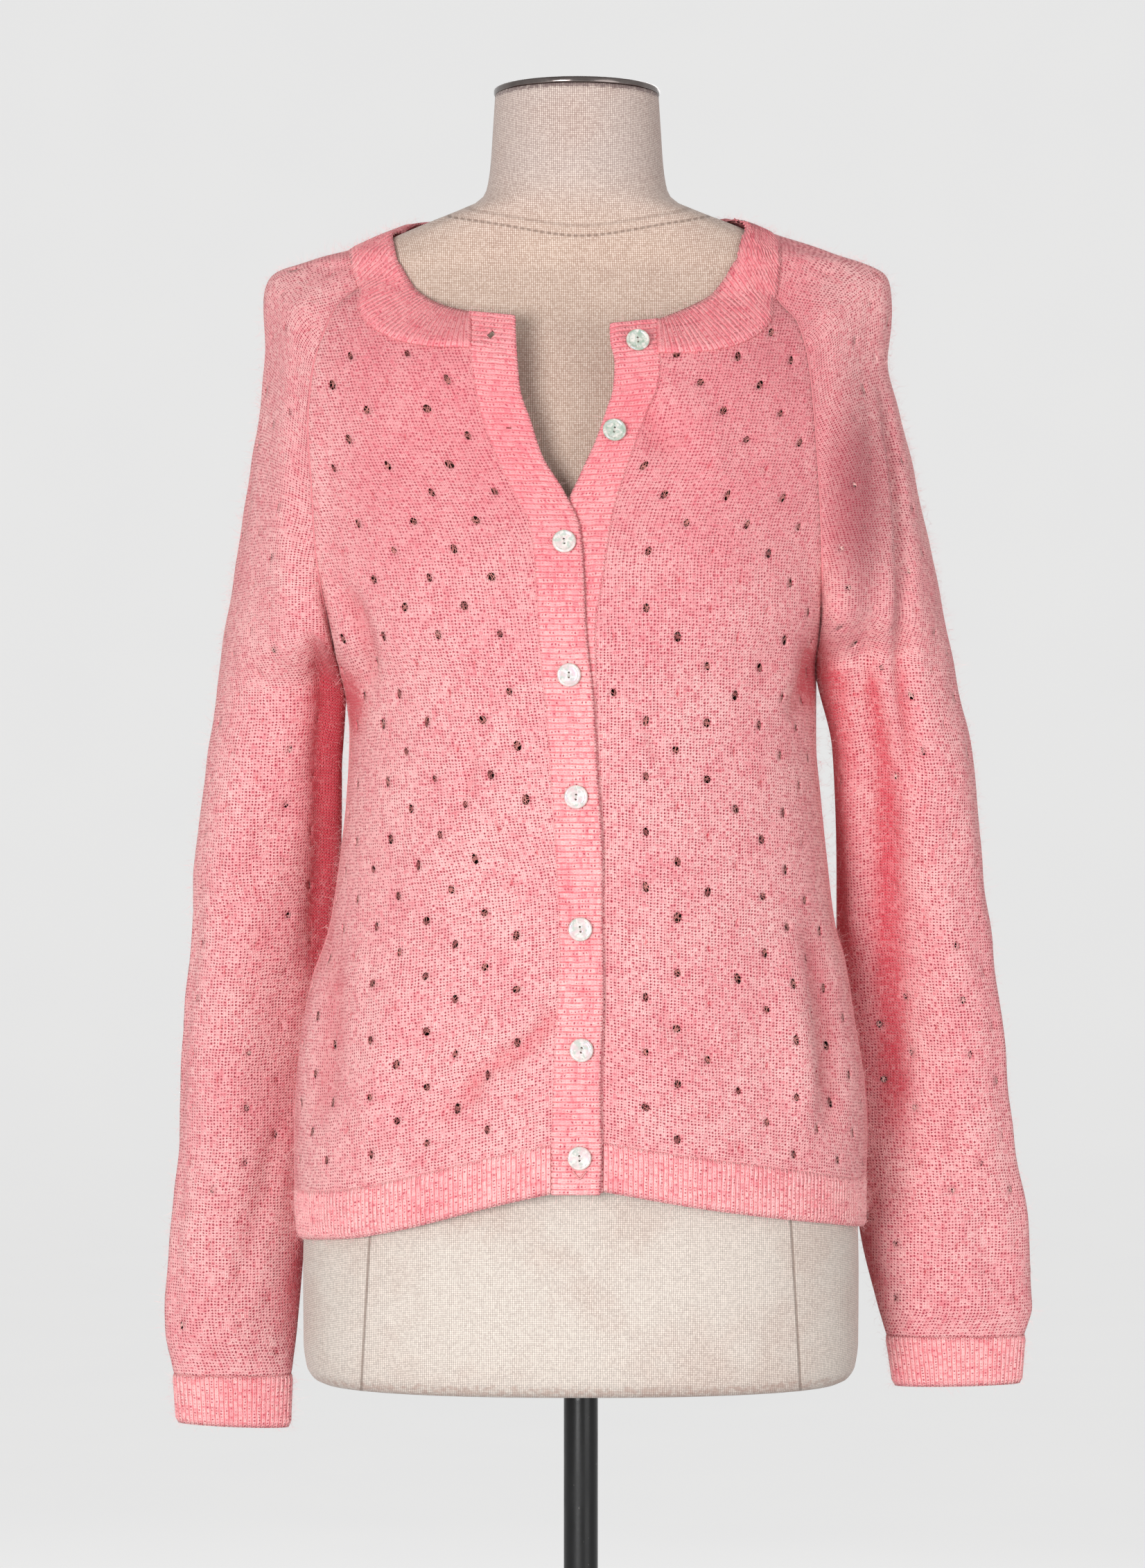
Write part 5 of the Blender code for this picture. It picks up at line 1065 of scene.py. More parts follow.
# two-hole button: inside a circle each half disc is rings drawn from its hole's edge to the border;
# outside it a profile is turned: dish, ridge, rounded edge, underside
def buttonDisc():
    holeY, hole, radius = button["holePitch"] / 2, button["hole"], button["radius"]
    inner, half = radius * 0.5, button["thickness"] / 2
    corner = math.atan2(-holeY, inner)
    v = np.sort(np.append(np.linspace(-math.pi / 2, 1.5 * math.pi, 49), [corner, math.pi - corner]))
    dirX, dirY = np.cos(v)[None], np.sin(v)[None]
    toRim = -holeY * dirY + np.sqrt(np.maximum(inner**2 - (holeY * dirX) ** 2, 0))
    toMiddle = np.where(dirY < -1e-9, holeY / np.maximum(-dirY, 1e-9), 1.0)
    onRim = toRim[0] <= toMiddle[0] + 1e-9
    u = np.array([0, 0.06, 0.3, 0.65, 1.0])[:, None]
    far = hole + (np.minimum(toRim, toMiddle) - hole) * u
    x, y = far * dirX, holeY + far * dirY
    top = half - 0.0005 - 0.00012 * (u < 0.02) + 0 * x
    face, under = np.stack([x, y, top], -1), np.stack([x, y, -half + 0 * x], -1)
    halfDisc = np.concatenate([under[::-1], face])
    angle = np.arctan2(y[-1][onRim], x[-1][onRim])
    angle = np.concatenate([angle, -angle])
    angle = np.unique(np.round(np.mod(angle, 2 * np.pi), 6))[None]
    profile = np.array([
        (0.5, half - 0.0005), (0.66, half - 0.0005), (0.72, half - 0.0004), (0.78, half - 0.0001),
        (0.84, half), (0.90, half - 0.0001), (0.955, half - 0.0004), (0.99, half - 0.0008), (1.0, half - 0.0012),
        (0.975, half - 0.0017), (0.9, -half), (0.7, -half), (0.5, -half),
    ])
    ring = profile[:, :1] * radius
    turnedPart = np.stack([ring * np.cos(angle), ring * np.sin(angle), profile[:, 1:] + 0 * angle], -1)
    flat, quads, count = [], [], 0
    for grid, closed in ((halfDisc, False), (halfDisc * [1, -1, 1], False), (turnedPart, True)):
        quads.append(gridQuads(*grid.shape[:2], closed).reshape(-1, 4) + count)
        flat.append(grid.reshape(-1, 3))
        count += len(flat[-1])
    return np.concatenate(flat), quads


def buttonPlace(number, x, z, closed):
    level = hangs[number - 1]
    forward = cloth["rib"] + 0.0003 + button["thickness"] / 2 + 0.0022 * level
    return bandPlace("right" if closed else "left", x, z, forward, level)


def buttonPiece(number, x, z, closed):
    centre, axes = buttonPlace(number, x, z, closed)
    flat, quads = buttonDisc()
    spin = 0.15 * math.sin(number * 2.4)
    turn = np.array([[math.cos(spin), math.sin(spin), 0], [-math.sin(spin), math.cos(spin), 0], [0, 0, 1]])
    placed = (flat @ turn) @ axes + centre
    uv = flat[:, :2] + [number * 0.05, number * 0.013]
    piece = meshPiece(f"pearl_button_{number}", placed, quads, uv)
    tidy(piece, 0.00002)
    return piece


def tidy(piece, distance):  # merges doubles, closes the rim and turns the faces outwards
    work = bmesh.new()
    work.from_mesh(piece.data)
    bmesh.ops.remove_doubles(work, verts=work.verts, dist=distance)
    bmesh.ops.dissolve_degenerate(work, edges=work.edges, dist=distance / 4)
    open_ = [e for e in work.edges if len(e.link_faces) == 1]
    if open_:
        bmesh.ops.holes_fill(work, edges=open_, sides=0)
    bmesh.ops.recalc_face_normals(work, faces=work.faces)
    work.to_mesh(piece.data)
    work.free()
    piece.data.shade_smooth()


# thread: a tube of round sections along a path of points
def threadPiece(name, routes, radius, columns=8):
    flat, quads, uvs, count = [], [], [], 0
    for route in routes:
        route = np.asarray(route, float)
        along = np.gradient(route, axis=0)
        along /= np.linalg.norm(along, axis=1, keepdims=True)
        side = np.cross(along, [0.3, 0.2, 0.93])
        side /= np.linalg.norm(side, axis=1, keepdims=True)
        over = np.cross(along, side)
        a = np.linspace(0, 2 * np.pi, columns, endpoint=False)[None, :, None]
        ring = route[:, None] + (side[:, None] * np.cos(a) + over[:, None] * np.sin(a)) * radius
        cells = gridQuads(len(route), columns, True).reshape(-1, 4)
        ends = [np.arange(columns)[None, ::-1], np.arange(columns)[None] + (len(route) - 1) * columns]
        quads += [cells + count] + [e + count for e in ends]
        around = np.broadcast_to(a[..., 0] * radius, ring.shape[:2])
        uvs.append(np.stack([around, runAlong(route[None])[0][:, None] + 0 * around], -1).reshape(-1, 2))
        flat.append(ring.reshape(-1, 3))
        count += ring.shape[0] * columns
    piece = meshPiece(name, np.concatenate(flat), quads, np.concatenate(uvs))
    tidy(piece, 0.000001)
    return piece


print("buttons and thread")
shellPieces, stitches = [], []
for number, (x, z, closed) in enumerate(buttons, 1):
    shellPieces.append(buttonPiece(number, x, z, closed))
    centre, axes = buttonPlace(number, x, z, closed)
    t = np.linspace(-1, 1, 15)
    for shift in (-0.00022, 0.00022):
        arch = np.stack([shift + 0 * t, t * button["holePitch"] / 2, 0.0007 - 0.0018 * np.abs(t) ** 5], -1)
        stitches.append(arch @ axes + centre)
threads = threadPiece("sewing_thread", stitches, 0.00020)
centre, axes = bandPlace("right", buttons[-1][0], buttons[-1][1] - 0.0118, 0.0011)
t = np.linspace(0, 1, 12)
tie = [np.stack([s * t * 0.0042, t * 0.0050 - 0.001, 0.0006 * np.sin(np.pi * t) + 0.0002], -1) for s in (-1, 1)]
yarnEnd = threadPiece("yarn_end", [end @ axes + centre for end in tie], 0.0005)
seamYarn = threadPiece("knit_seams", [evenPath(path, 120) for path in seams], 0.0012, 6)


# a value on the surface: arithmetic on it, the field on the left, adds Math nodes to its material
class Field:
    def __init__(self, socket):
        self.socket = socket

    def math(self, operation, *others):
        return joined(operation, self, *others)

    def __add__(self, other): return joined("ADD", self, other)
    def __sub__(self, other): return joined("SUBTRACT", self, other)
    def __mul__(self, other): return joined("MULTIPLY", self, other)
    def __truediv__(self, other): return joined("DIVIDE", self, other)
    def __pow__(self, other): return joined("POWER", self, other)
    def __abs__(self): return joined("ABSOLUTE", self)


def joined(operation, *parts):
    tree = next(part.socket.id_data for part in parts if isinstance(part, Field))
    return node(tree, "ShaderNodeMath", dict(enumerate(parts)), operation=operation)


# adds a node with its inputs linked or set, and gives one of its outputs
def node(tree, kind, inputs=None, output=0, **settings):
    made = tree.nodes.new(kind)
    for key, value in settings.items():
        setattr(made, key, value)
    for key, value in (inputs or {}).items():
        plug(made, key, value)
    return Field(made.outputs[output])


def plug(made, key, value):  # links a field to an input, or sets a plain value on it
    if isinstance(value, Field):
        made.id_data.links.new(value.socket, made.inputs[key])
    else:
        made.inputs[key].default_value = value


def between(value, low, high, toLow=0.0, toHigh=1.0):  # value mapped from one range to another
    inputs = {"Value": value, "From Min": low, "From Max": high, "To Min": toLow, "To Max": toHigh}
    return node(value.socket.id_data, "ShaderNodeMapRange", inputs, interpolation_type="SMOOTHSTEP")


def mixed(factor, a, b):  # two colours, the first at 0; colours are "#RRGGBB" or fields
    inputs = {0: factor, 6: tone(a), 7: tone(b)}
    return node(factor.socket.id_data, "ShaderNodeMix", inputs, 2, data_type="RGBA")


def noise(vector, scale, detail=2.0, roughness=0.5, stretch=(1, 1, 1)):
    tree = vector.socket.id_data
    moved = node(tree, "ShaderNodeMapping", {"Vector": vector, "Scale": stretch})
    inputs = {"Vector": moved, "Scale": scale, "Detail": detail, "Roughness": roughness}
    return node(tree, "ShaderNodeTexNoise", inputs, "Fac")


def axesOf(vector, kind="ShaderNodeSeparateXYZ"):
    first = node(vector.socket.id_data, kind, {0: vector})
    return [Field(output) for output in first.socket.node.outputs]


def tone(code):  # "#RRGGBB" as linear colour
    if isinstance(code, Field):
        return code
    values = [int(code[i : i + 2], 16) / 255 for i in (1, 3, 5)]
    return (*(v / 12.92 if v < 0.04045 else ((v + 0.055) / 1.055) ** 2.4 for v in values), 1.0)


def newLook(name):
    made = bpy.data.materials.new(name)
    made.use_nodes = True
    return made, made.node_tree.nodes["Principled BSDF"]


def objectPlace(shader):
    return node(shader.id_data, "ShaderNodeTexCoord", None, "Object")


def surfaceRun(shader):  # axes of the piece's own UV map: the run across and the run along
    return axesOf(surfaceMap(shader))[:2]


def surfaceMap(shader):
    return node(shader.id_data, "ShaderNodeUVMap", uv_map="surface")


def dress(shader, colour, height, strength, distance, **values):  # colour, bump and the shader's own values
    plug(shader, "Base Color", colour)
    bump = {"Strength": strength, "Distance": distance, "Height": height}
    plug(shader, "Normal", node(shader.id_data, "ShaderNodeBump", bump))
    for key, value in values.items():
        plug(shader, key.replace("_", " "), value)


# yarn tones; three of them are painted shade: the dark red of stitch edges and gaps, the red of folds and the dusky
# mauve; rim is a painted pale sheen, and shade is the darker heather and also painted shade on the upper front
yarn = dict(
    light="#F9BBBA", middle="#F19DA2", paintedStitchShade="#AE3048", fleck="#FFD6D0", shade="#DF6C79",
    paintedShade="#CE3347", paintedDuskShade="#A65C62", rim="#F6CDC6", wale=0.0022, course=0.0019, relief=0.0009,
    sheen=0.18, sheenRough=0.40, sheenTint="#FFDCD6",
)


# stockinette: in each wale two legs, each a row of slanted stitches, with a gap at the foot of
# every stitch painted dark as shade; leg height = sin(pi*c)^0.6 * (0.5 + 0.5*cos(2*pi*(v + 0.8c))), c the
# way off the wale's middle; gap = (|sin(pi*u)| * |sin(pi*v)|)^3, darker or paler stitch by stitch.
# Painted shade also darkens the stitch edges, lays a mottled red in folds and a dusky mauve where the
# attribute asks, and darkens the upper front; stitch tops in the fold shade get painted highlights, and
# faces seen edge-on a painted pale sheen
def yarnLook(name, wale, course, relief, seed, gaps=1.0):
    made, shader = newLook(name)
    tree, place, (across, up) = shader.id_data, objectPlace(shader), surfaceRun(shader)
    paintedShade = node(tree, "ShaderNodeAttribute", None, "Fac", attribute_name="paintedShade")
    u = across / wale + (noise(place, 90.0 + seed) - 0.5)
    v = up / course + (noise(place, 140.0 + seed) * 1.4 - 0.7)
    fromMiddle = abs(u.math("FRACT") * 2.0 - 1.0)
    leg = (fromMiddle * math.pi).math("SINE").math("MAXIMUM", 0.0) ** 0.6
    loop = ((fromMiddle * 0.8 + v) * (2 * math.pi)).math("COSINE") * 0.5 + 0.5
    stitch = leg * (loop * 0.55 + 0.45)
    number = node(tree, "ShaderNodeCombineXYZ", {0: u.math("FLOOR"), 1: v.math("FLOOR"), 2: seed})
    chance = node(tree, "ShaderNodeTexWhiteNoise", {"Vector": number}, "Color")
    gapOdds, paleOdds, darkOdds = axesOf(chance, "ShaderNodeSeparateColor")
    gap = (abs((u * math.pi).math("SINE")) * abs((v * math.pi).math("SINE"))) ** 3.0
    gap = gap * (gapOdds * (1.15 * gaps) + 0.08 * gaps)
    fibre = noise(place, 1500.0, 3.0, 0.65)
    strand = noise(surfaceMap(shader), 420.0, 3.0, 0.6, (1, 3.2, 1))
    height = stitch + (fibre + strand) * 0.45 - gap * 1.2
    cloud, patch = noise(place, 20.0, 3.0, 0.6), noise(place, 70.0, 4.0, 0.65)
    x, _, z = axesOf(place)
    # painted shade on the upper front, fading out towards the sides
    paintedChestShade = between(z, 1.12, 1.34, 0.0, 0.42) * between(abs(x), 0.175, 0.125)
    # painted fold shade broken up by patches, with painted highlights on the stitch tops inside it
    mottledPaintedShade = paintedShade * ((patch + paleOdds) * 0.6 + 0.50)
    paintedStitchHighlight = between(stitch, 0.62, 0.92) * between(paintedShade, 0.25, 0.80, 0.0, 0.45)
    # faces seen edge-on get a painted pale sheen
    facing = node(tree, "ShaderNodeLayerWeight", {0: 0.30}, "Facing")
    colour = mixed(between(cloud, 0.30, 0.70, 0.25, 0.85), yarn["middle"], yarn["light"])
    for share, tint in (
        (between(patch, 0.48, 0.78, 0.0, 0.45), "shade"),
        (between(strand, 0.56, 0.74, 0.0, 0.45), "fleck"),
        (between(paleOdds, 0.45, 1.0, 0.0, 0.32), "fleck"),
        (between(darkOdds, 0.60, 1.0, 0.0, 0.50), "shade"),
        # painted shade: the dusky mauve, stitch edges and gaps, the mottled red of folds and the upper front; then
        # painted highlights on stitch tops and a painted pale sheen
        (between(paintedShade, -0.02, -1.0, 0.0, 0.85), "paintedDuskShade"),
        (between(stitch, 0.34, 0.02, 0.0, 0.46), "paintedStitchShade"),
        (between(gap, 0.08, 0.44, 0.0, 0.90), "paintedStitchShade"),
        (between(mottledPaintedShade, 0.04, 0.90, 0.0, 0.92), "paintedShade"),
        (paintedChestShade, "shade"),
        (paintedStitchHighlight, "light"),
        (between(facing, 0.66, 0.98, 0.0, 0.50), "rim"),
    ):
        colour = mixed(share, colour, yarn[tint])
    dress(
        shader, colour, height, 0.75, relief, Roughness=0.92, Specular_IOR_Level=0.15,
        Sheen_Weight=yarn["sheen"], Sheen_Roughness=yarn["sheenRough"], Sheen_Tint=tone(yarn["sheenTint"]),
    )
    return made


# the second pair of tones is painted shade for the fibres across the eyelets
looseTones = dict(pale=("#EC9CA2", "#FBD2CC"), paintedEyeletShade=("#863E3E", "#B8716A"))


def fuzzLook():  # loose fibres: paler yarn, painted brown shade on those across the eyelets
    made, shader = newLook("mohair fuzz")
    blend = between(noise(objectPlace(shader), 120.0), 0.35, 0.65)
    paintedEyeletShade = node(shader.id_data, "ShaderNodeAttribute", None, "Fac", attribute_name="paintedShade")
    colour = mixed(paintedEyeletShade, *(mixed(blend, *looseTones[kind]) for kind in ("pale", "paintedEyeletShade")))
    for key, value in (("Base Color", colour), ("Roughness", 0.7), ("Sheen Weight", 0.4)):
        plug(shader, key, value)
    return made


# linen tones; high is browner as painted shade with pink bounce, and the frayed tone also paints the shade of the
# gap under the cap
linen = dict(
    low="#BBB1A9", high="#B29888", neck="#AD9B94", thread="#F0E2D6", gap="#6C574C", stain="#9C7A6E",
    frayedEdgeAndCapShade="#5A4044", across=0.00135, up=0.00115,
)


# linen canvas: two sine rows crossing, thick and thin by stretched noise and cell by cell; lines of
# stitching along the neck seam and the long seams, a painted shadow line along the neck seam's fold, a
# frayed edge under the cap darkened further as painted shade of the gap, and painted shade browner up
# the chest
def linenLook():
    made, shader = newLook("linen canvas")
    tree, place, (across, up) = shader.id_data, objectPlace(shader), surfaceRun(shader)
    sway = noise(place, 90.0) * 2.0 - 1.0
    u = across * (math.pi / linen["across"]) + sway
    v = up * (math.pi / linen["up"]) + sway
    warp, weft = abs(u.math("SINE")), abs(v.math("SINE"))
    cell = node(tree, "ShaderNodeCombineXYZ", {i: (way / math.pi).math("FLOOR") for i, way in enumerate((u, v))})
    grain = node(tree, "ShaderNodeTexWhiteNoise", {0: cell}, "Value")
    uneven = grain * 0.16 + (noise(surfaceMap(shader), 700.0, 3.0, 0.6, (1.2, 0.6, 1)) * 0.34 + 0.07)
    weave = warp * 0.36 + weft * 0.34 + uneven
    x, y, z = axesOf(place)
    reach = (abs(x) ** 2.0 + abs(y) ** 2.0).math("SQRT")
    offSeam = z - ((y / reach + 1.0) * form["neckSeam"][1] + form["neckSeam"][0])
    longX = (abs(z - 1.03) * 0.46 + 0.90) * form["princessX"]
    longSeam = between(abs(abs(x) - longX), 0.0013, 0.0003) * between(offSeam, 0.0, -0.002)
    dashes = between((x * 1500.0).math("SINE"), -0.7, 0.1, 0.35, 1.0)
    stitched = between(abs(offSeam), 0.0012, 0.0003) * dashes
    # painted shadow line along the fold above the neck seam
    paintedFoldShadow = between(abs(offSeam - 0.0062), 0.0016, 0.0003, 0.0, 0.45)
    seamsAndFoldShadow = longSeam.math("MAXIMUM", stitched).math("MAXIMUM", paintedFoldShadow)
    edge = between(z, 0.748, 0.733) * noise(place, 260.0, 3.0)
    # dark band just under the cap: frayed fabric and painted shade of the gap under the cap
    frayedEdgeAndCapShade = between(z, 1.5400, 1.5440) * noise(place, 420.0, 3.0)
    # browner from the waist up to the chest: painted shade with pink bounce from the cardigan
    colour = mixed(between(z, 0.98, 1.25), linen["low"], linen["high"])
    for share, tint in (
        (between(z, 1.44, 1.50), "neck"),
        (between(noise(place, 16.0, 4.0, 0.6), 0.42, 0.72, 0.0, 0.36), "stain"),
        (between(weave, 0.74, 1.02, 0.0, 0.62), "thread"),
        (between(weave, 0.68, 0.34, 0.0, 0.72), "gap"),
        (between(edge, 0.35, 0.62, 0.0, 0.45), "stain"),
        (seamsAndFoldShadow * 0.62, "gap"),
        (between(frayedEdgeAndCapShade, 0.30, 0.52, 0.0, 0.62), "frayedEdgeAndCapShade"),
    ):
        colour = mixed(share, colour, linen[tint])
    dress(
        shader, colour, weave - seamsAndFoldShadow * 1.5, 0.6, 0.0004, Roughness=0.86, Specular_IOR_Level=0.25,
        Sheen_Weight=0.12,
    )
    return made


steelTones = dict(dark="#4A4341", light="#8A817E")
paintTones = dict(dark="#060607", dusty="#101012", worn="#6E6C6A")
pearlTones = dict(dark="#B3BBB0", light="#D9D3CB", green="#93A593", rose="#CDB9B6")


def steelLook():  # polished steel with fine turning marks and a few smudges
    made, shader = newLook("polished steel")
    place = objectPlace(shader)
    x, y, _ = axesOf(place)
    rings = (((x - capMiddle[0]) ** 2.0 + y**2.0).math("SQRT") * 9000.0).math("SINE")
    smudge = noise(place, 70.0, 4.0, 0.6)
    rough = between(smudge, 0.3, 0.75, 0.12, 0.34)
    colour = mixed(smudge, steelTones["dark"], steelTones["light"])
    dress(shader, colour, rings + smudge, 0.12, 0.0001, Roughness=rough, Metallic=1.0)
    return made


def paintLook():  # black paint, satin, with worn specks and a faint orange peel
    made, shader = newLook("black satin paint")
    place = objectPlace(shader)
    dust = noise(place, 24.0, 4.0, 0.6)
    worn = between(noise(place, 330.0, 3.0, 0.7, (1, 1, 0.5)), 0.70, 0.76)
    colour = mixed(between(dust, 0.4, 0.8, 0.0, 0.5), paintTones["dark"], paintTones["dusty"])
    dress(
        shader, mixed(worn, colour, paintTones["worn"]), noise(place, 420.0) - worn, 0.2, 0.0002,
        Roughness=between(dust, 0.3, 0.8, 0.30, 0.50), Specular_IOR_Level=0.25, Coat_Weight=0.04,
    )
    return made


def pearlLook(name, cool):  # mother of pearl: layers by a warped wave, pale green, grey and rose
    made, shader = newLook(name)
    place = objectPlace(shader)
    warp = noise(place, 160.0 + 30 * cool, 3.0, 0.6)
    layers = (warp * 26.0).math("SINE")
    colour = mixed(between(layers, -0.8, 0.8), pearlTones["dark"], pearlTones["light"])
    tint = pearlTones["green" if cool else "rose"]
    colour = mixed(between(noise(place, 330.0), 0.35, 0.7), colour, tint)
    dress(
        shader, colour, warp, 0.15, 0.0002, Roughness=between(layers, -1.0, 1.0, 0.14, 0.26),
        Coat_Weight=0.6, Coat_Roughness=0.08, Thin_Film_Thickness=320.0,
    )
    return made


def threadLook(name, code, dark):  # twisted thread: slanted bands along it
    made, shader = newLook(name)
    around, along = surfaceRun(shader)
    twist = (along * 9000.0 + around * 3000.0).math("SINE")
    dress(shader, mixed(between(twist, -1.0, 1.0), dark, code), twist, 0.6, 0.0002, Roughness=0.8)
    return made


fuzz = dict(
    length=0.0080, width=0.00018, strands=7, strandWidth=0.00034,
    counts={"back": 7000, "front": 9500, "sleeve": 14000, "band": 3200, "hem": 2200, "cuff": 2000, "neckband": 3600},
)


# loose fibres: at points spread evenly over a piece, a bent blade with a sharp tip; in each
# open eyelet flat strands cross a little below the surface
def fuzzOn(piece, count, length, width, outerShare=0.5):
    mesh = piece.data
    mesh.calc_loop_triangles()
    corners = np.empty(len(mesh.loop_triangles) * 3, np.int32)
    mesh.loop_triangles.foreach_get("vertices", corners)
    spots = np.empty(len(mesh.vertices) * 3, np.float32)
    mesh.vertices.foreach_get("co", spots)
    tri = spots.reshape(-1, 3)[corners.reshape(-1, 3)].astype(float)
    normal = np.cross(tri[:, 1] - tri[:, 0], tri[:, 2] - tri[:, 0])
    size = np.linalg.norm(normal, axis=1)
    outer = np.arange(len(tri)) < len(tri) * outerShare  # the wall's outer faces come first
    size = size * outer
    pick = draw.choice(len(tri), count, p=size / size.sum())
    a, b = draw.random((2, count, 1))
    flip = a + b > 1
    a, b = np.where(flip, 1 - a, a), np.where(flip, 1 - b, b)
    root = tri[pick, 0] + (tri[pick, 1] - tri[pick, 0]) * a + (tri[pick, 2] - tri[pick, 0]) * b
    out = normal[pick] / np.maximum(size[pick][:, None], 1e-12)
    lean = draw.normal(size=(count, 3)) * 0.75
    way = out * (0.25 + 0.75 * draw.random((count, 1))) + lean - out * (lean * out).sum(1, keepdims=True)
    way /= np.linalg.norm(way, axis=1, keepdims=True)
    bend = draw.normal(size=(count, 3)) * 0.55
    reach = length * (0.35 + 0.9 * draw.random((count, 1)) ** 2)
    side = np.cross(way, draw.normal(size=(count, 3)))
    side /= np.linalg.norm(side, axis=1, keepdims=True)
    mid = root + way * reach * 0.5 + out * reach * 0.08
    tip = mid + (way + bend) * reach * 0.45
    half = side * width / 2
    points = np.stack([root - half, mid - half * 0.4, tip, mid + half * 0.6], axis=1)
    polys = [np.arange(count)[:, None] * 4 + [[0, 1, 2, 3]]]
    points = points.reshape(-1, 3)
    if piece.name in eyelets:
        middle, out, half = (np.repeat(part, fuzz["strands"], axis=0) for part in eyelets[piece.name])
        strands = np.arange(len(middle))[:, None] * 4
        way = np.cross(out, draw.normal(size=out.shape))
        way /= np.linalg.norm(way, axis=1, keepdims=True)
        across = np.cross(out, way)
        middle = middle - out * 0.0007 + across * draw.normal(size=(len(middle), 1)) * half[:, :1] * 0.42
        reach, thick = way * half.max(axis=1, keepdims=True) * 1.15, across * fuzz["strandWidth"] / 2
        bow = out * draw.normal(size=(len(middle), 1)) * 0.0003
        ends = [middle + reach * a + thick * b + bow * a for a, b in ((-1, -1), (1, -1), (1, 1), (-1, 1))]
        polys.append(strands + [[0, 1, 2, 3]] + len(points))
        points = np.concatenate([points, np.stack(ends, axis=1).reshape(-1, 3)])
    uv = np.zeros((len(points), 2))
    # the strands across the eyelets take painted shade, half as much on the sleeves
    paintedEyeletShade = (np.arange(len(points)) >= count * 4) * (0.5 if "sleeve" in piece.name else 1.0)
    return meshPiece(piece.name.replace("knit_", "fuzz_"), points, polys, uv, paintedShade=paintedEyeletShade)


print("materials and fuzz")
panelYarn = yarnLook("salmon mohair stockinette", yarn["wale"], yarn["course"], yarn["relief"], 0.0)
ribYarn = yarnLook("salmon mohair rib", cloth["pitchBand"], yarn["course"], yarn["relief"] * 0.8, 9.0, 0.45)
hemYarn = yarnLook("salmon mohair hem rib", cloth["pitchHem"], yarn["course"], yarn["relief"] * 0.8, 17.0, 0.45)
loose = fuzzLook()
yarns = {"band": ribYarn, "neckband": ribYarn, "hem": hemYarn, "cuff": hemYarn}
hairs = {}
for name, piece in knit.items():
    kind = name.split("_")[0]
    piece.data.materials.append(yarns.get(kind, panelYarn))
    hairs[name] = fuzzOn(piece, fuzz["counts"][kind], fuzz["length"], fuzz["width"])
    hairs[name].data.materials.append(loose)
    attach(piece, "root")
    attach(hairs[name], "root")
    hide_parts(name)
    "knit" if kind in ("back", "front", "sleeve") else "rib_knit"

linenCloth, steel, paint = linenLook(), steelLook(), paintLook()
formParts = (
    ("torso", "form_torso", "linen", linenCloth), ("cap", "form_neck_cap", "steel", steel),
    ("pole", "form_pole", "black_paint", paint), ("base", "form_base", "black_paint", paint),
)
for name, solid, slotName, look in formParts:
    stand[name].data.materials.append(look)
    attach(stand[name], "root")
    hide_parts(solid)
pearls = [pearlLook("green grey shell", 1.0), pearlLook("rose grey shell", 0.0)]
for number, piece in enumerate(shellPieces, 1):
    piece.data.materials.append(pearls[0] if number < 3 else pearls[1])
    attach(piece, "root")
    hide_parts(f"button_{number}")
sewn = (
    (threads, "sewing thread", "#E4E0D8", "#A79F97"), (yarnEnd, "yarn end", "#F4B4B0", "#C8727A"),
    (seamYarn, "seam yarn", "#F2A0A2", "#C8606C"),
)
for piece, look in ((piece, threadLook(*values)) for piece, *values in sewn):
    piece.data.materials.append(look)
    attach(piece, "root")

# flat cut of each knitted piece: width, length and, where it isn't a rectangle, its area
cuts = {
    "back": (0.485, 0.592, 0.2322), "front_left": (0.242, 0.545, 0.0997), "front_right": (0.242, 0.558, 0.1000),
    "sleeve_left": (0.284, 0.768, 0.1739), "sleeve_right": (0.265, 0.765, 0.1631),
    "hem_back": (0.484, 0.031, None), "hem_front_left": (0.233, 0.031, None),
    "hem_front_right": (0.230, 0.031, None), "cuff_left": (0.205, 0.032, None), "cuff_right": (0.180, 0.033, None),
    "band_left": (0.559, 0.026, None), "band_right": (0.570, 0.026, None), "neckband": (0.720, 0.034, None),
}
for name, (width, length, area) in cuts.items():
    held = "stretched" if name == "neckband" else "hung"

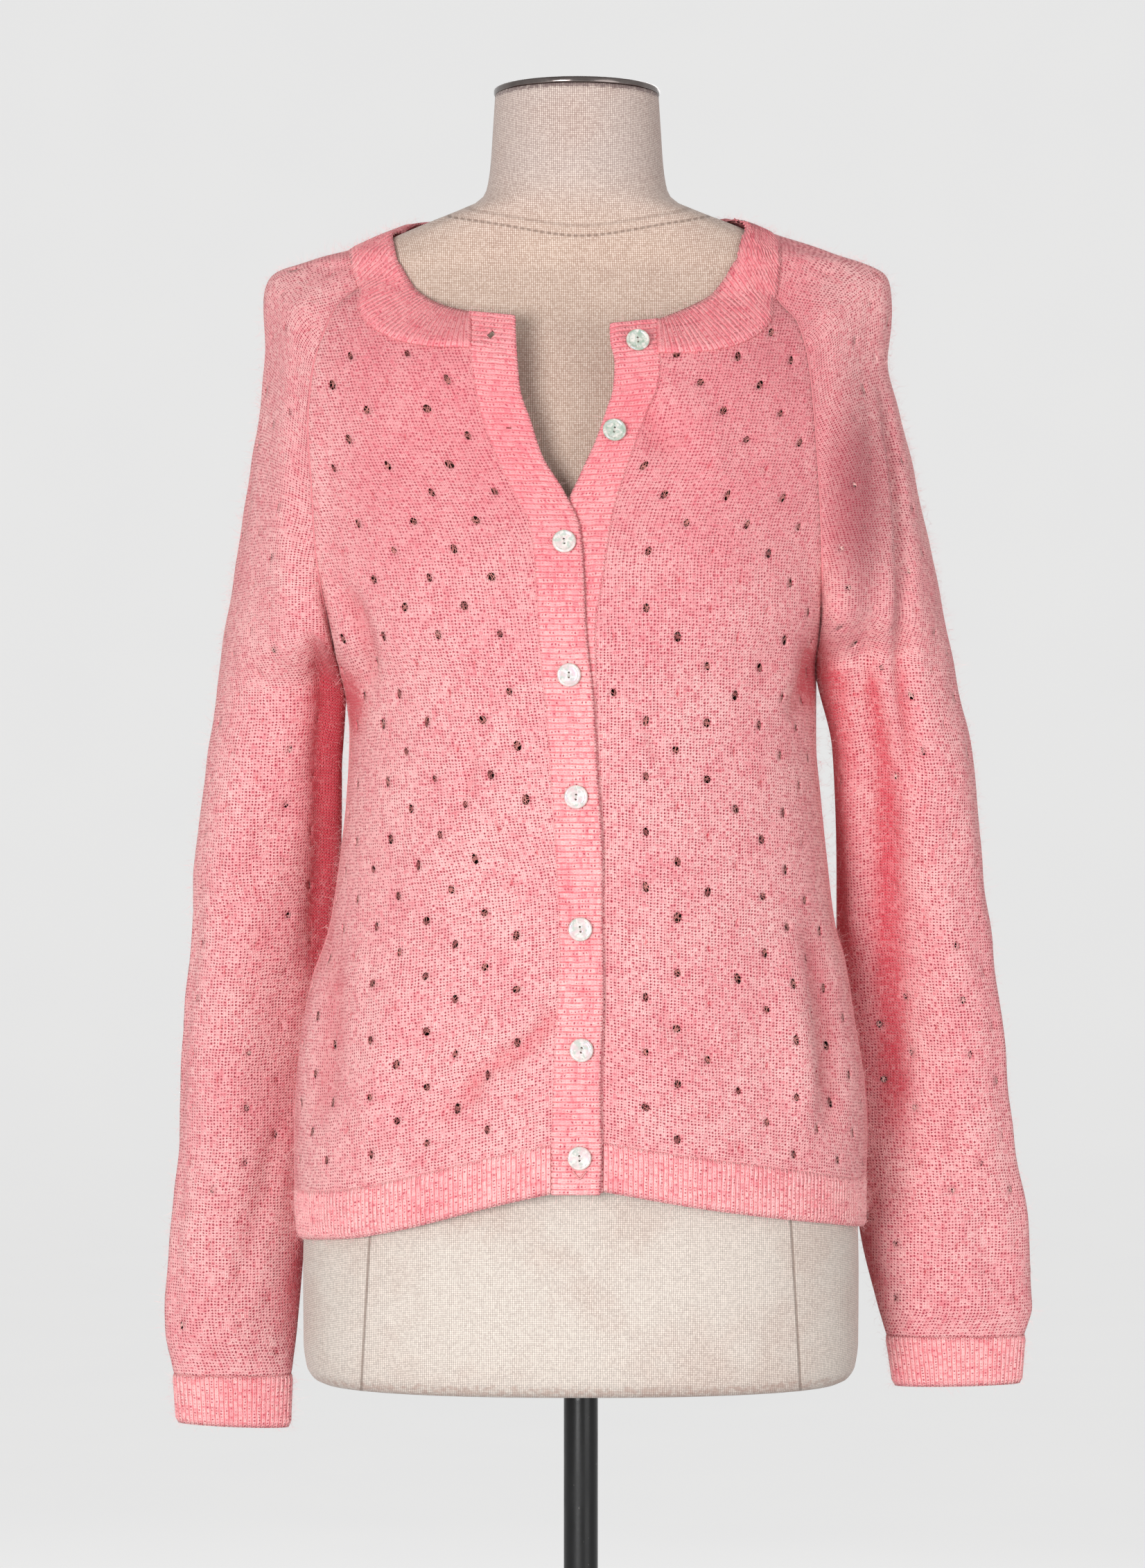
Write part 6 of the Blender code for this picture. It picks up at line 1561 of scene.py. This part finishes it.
print("studio")
studio = dict(
    world="#FFFFFF", worldStrength=0.51, glow=0.33,
    key=(-1.15, -3.0, 1.05, 1.3, 92.0), fill=(2.2, -2.4, 0.9, 2.2, 36.0), back=(0.6, 2.6, 2.6, 2.0, 22.0),
)
bowl = [(0.0, 0.0), (3.0, 0.0), (7.5, 0.0)]
bowl += [(9.0 + 2.5 * math.sin(a), 2.5 - 2.5 * math.cos(a)) for a in np.linspace(0, math.pi / 2, 16)]
bowl += [(11.5, 12.0)]
backdrop = turned("studio_bowl", [(r, z - 0.0002) for r, z in bowl], (0, 0), 96)
paper, shader = newLook("studio paper")
plug(shader, "Base Color", mixed(noise(objectPlace(shader), 3.0), "#E8E8E8", "#ECECEB"))
plug(shader, "Roughness", 0.95)
plug(shader, "Emission Color", (1.0, 1.0, 1.0, 1.0))
plug(shader, "Emission Strength", studio["glow"])
backdrop.data.materials.append(paper)
backdrop.visible_diffuse = False  # the paper sends no light back on the cloth

world = bpy.data.worlds.new("studio air")
world.use_nodes = True
world.node_tree.nodes["Background"].inputs[0].default_value = tone(studio["world"])
world.node_tree.nodes["Background"].inputs[1].default_value = studio["worldStrength"]
scene.world = world
for name in ("key", "fill", "back"):
    x, y, z, size, power = studio[name]
    lamp = bpy.data.lights.new(f"{name} light", "AREA")
    lamp.shape, lamp.size, lamp.energy = "DISK", size, power
    holder = bpy.data.objects.new(f"{name} light", lamp)
    scene.collection.objects.link(holder)
    holder.location = (x, y, z)
    toward = np.array([0, 0, 1.12]) - [x, y, z]
    aside = math.hypot(toward[0], toward[1])
    holder.rotation_euler = (math.atan2(aside, -toward[2]), 0, math.atan2(-toward[0], toward[1]))

# camera: estimated height and distance, 0.44 mm a pixel at the form's middle; in the photograph's pixels,
# middle is the picture's own and centre is where the form's axis at the camera's height shows
camera = dict(distance=2.86, height=1.072, pixel=0.00044, tall=2263, middle=(826, 1131.5), centre=(838, 1212))
lens = bpy.data.cameras.new("camera")
lens.sensor_width = 36.0
lens.lens = 36.0 * camera["distance"] / (camera["tall"] * camera["pixel"])
viewer = bpy.data.objects.new("camera", lens)
scene.collection.objects.link(viewer)
viewer.location = (0.0, -camera["distance"], camera["height"])
up = math.atan((camera["centre"][1] - camera["middle"][1]) * camera["pixel"] / camera["distance"])
turnLeft = math.atan((camera["centre"][0] - camera["middle"][0]) * camera["pixel"] / camera["distance"])
viewer.rotation_euler = (math.pi / 2 + up, 0.0, turnLeft)
lens.clip_start, lens.clip_end = 0.05, 60.0
scene.camera = viewer
scene.view_settings.view_transform = "Standard"

print("ready")
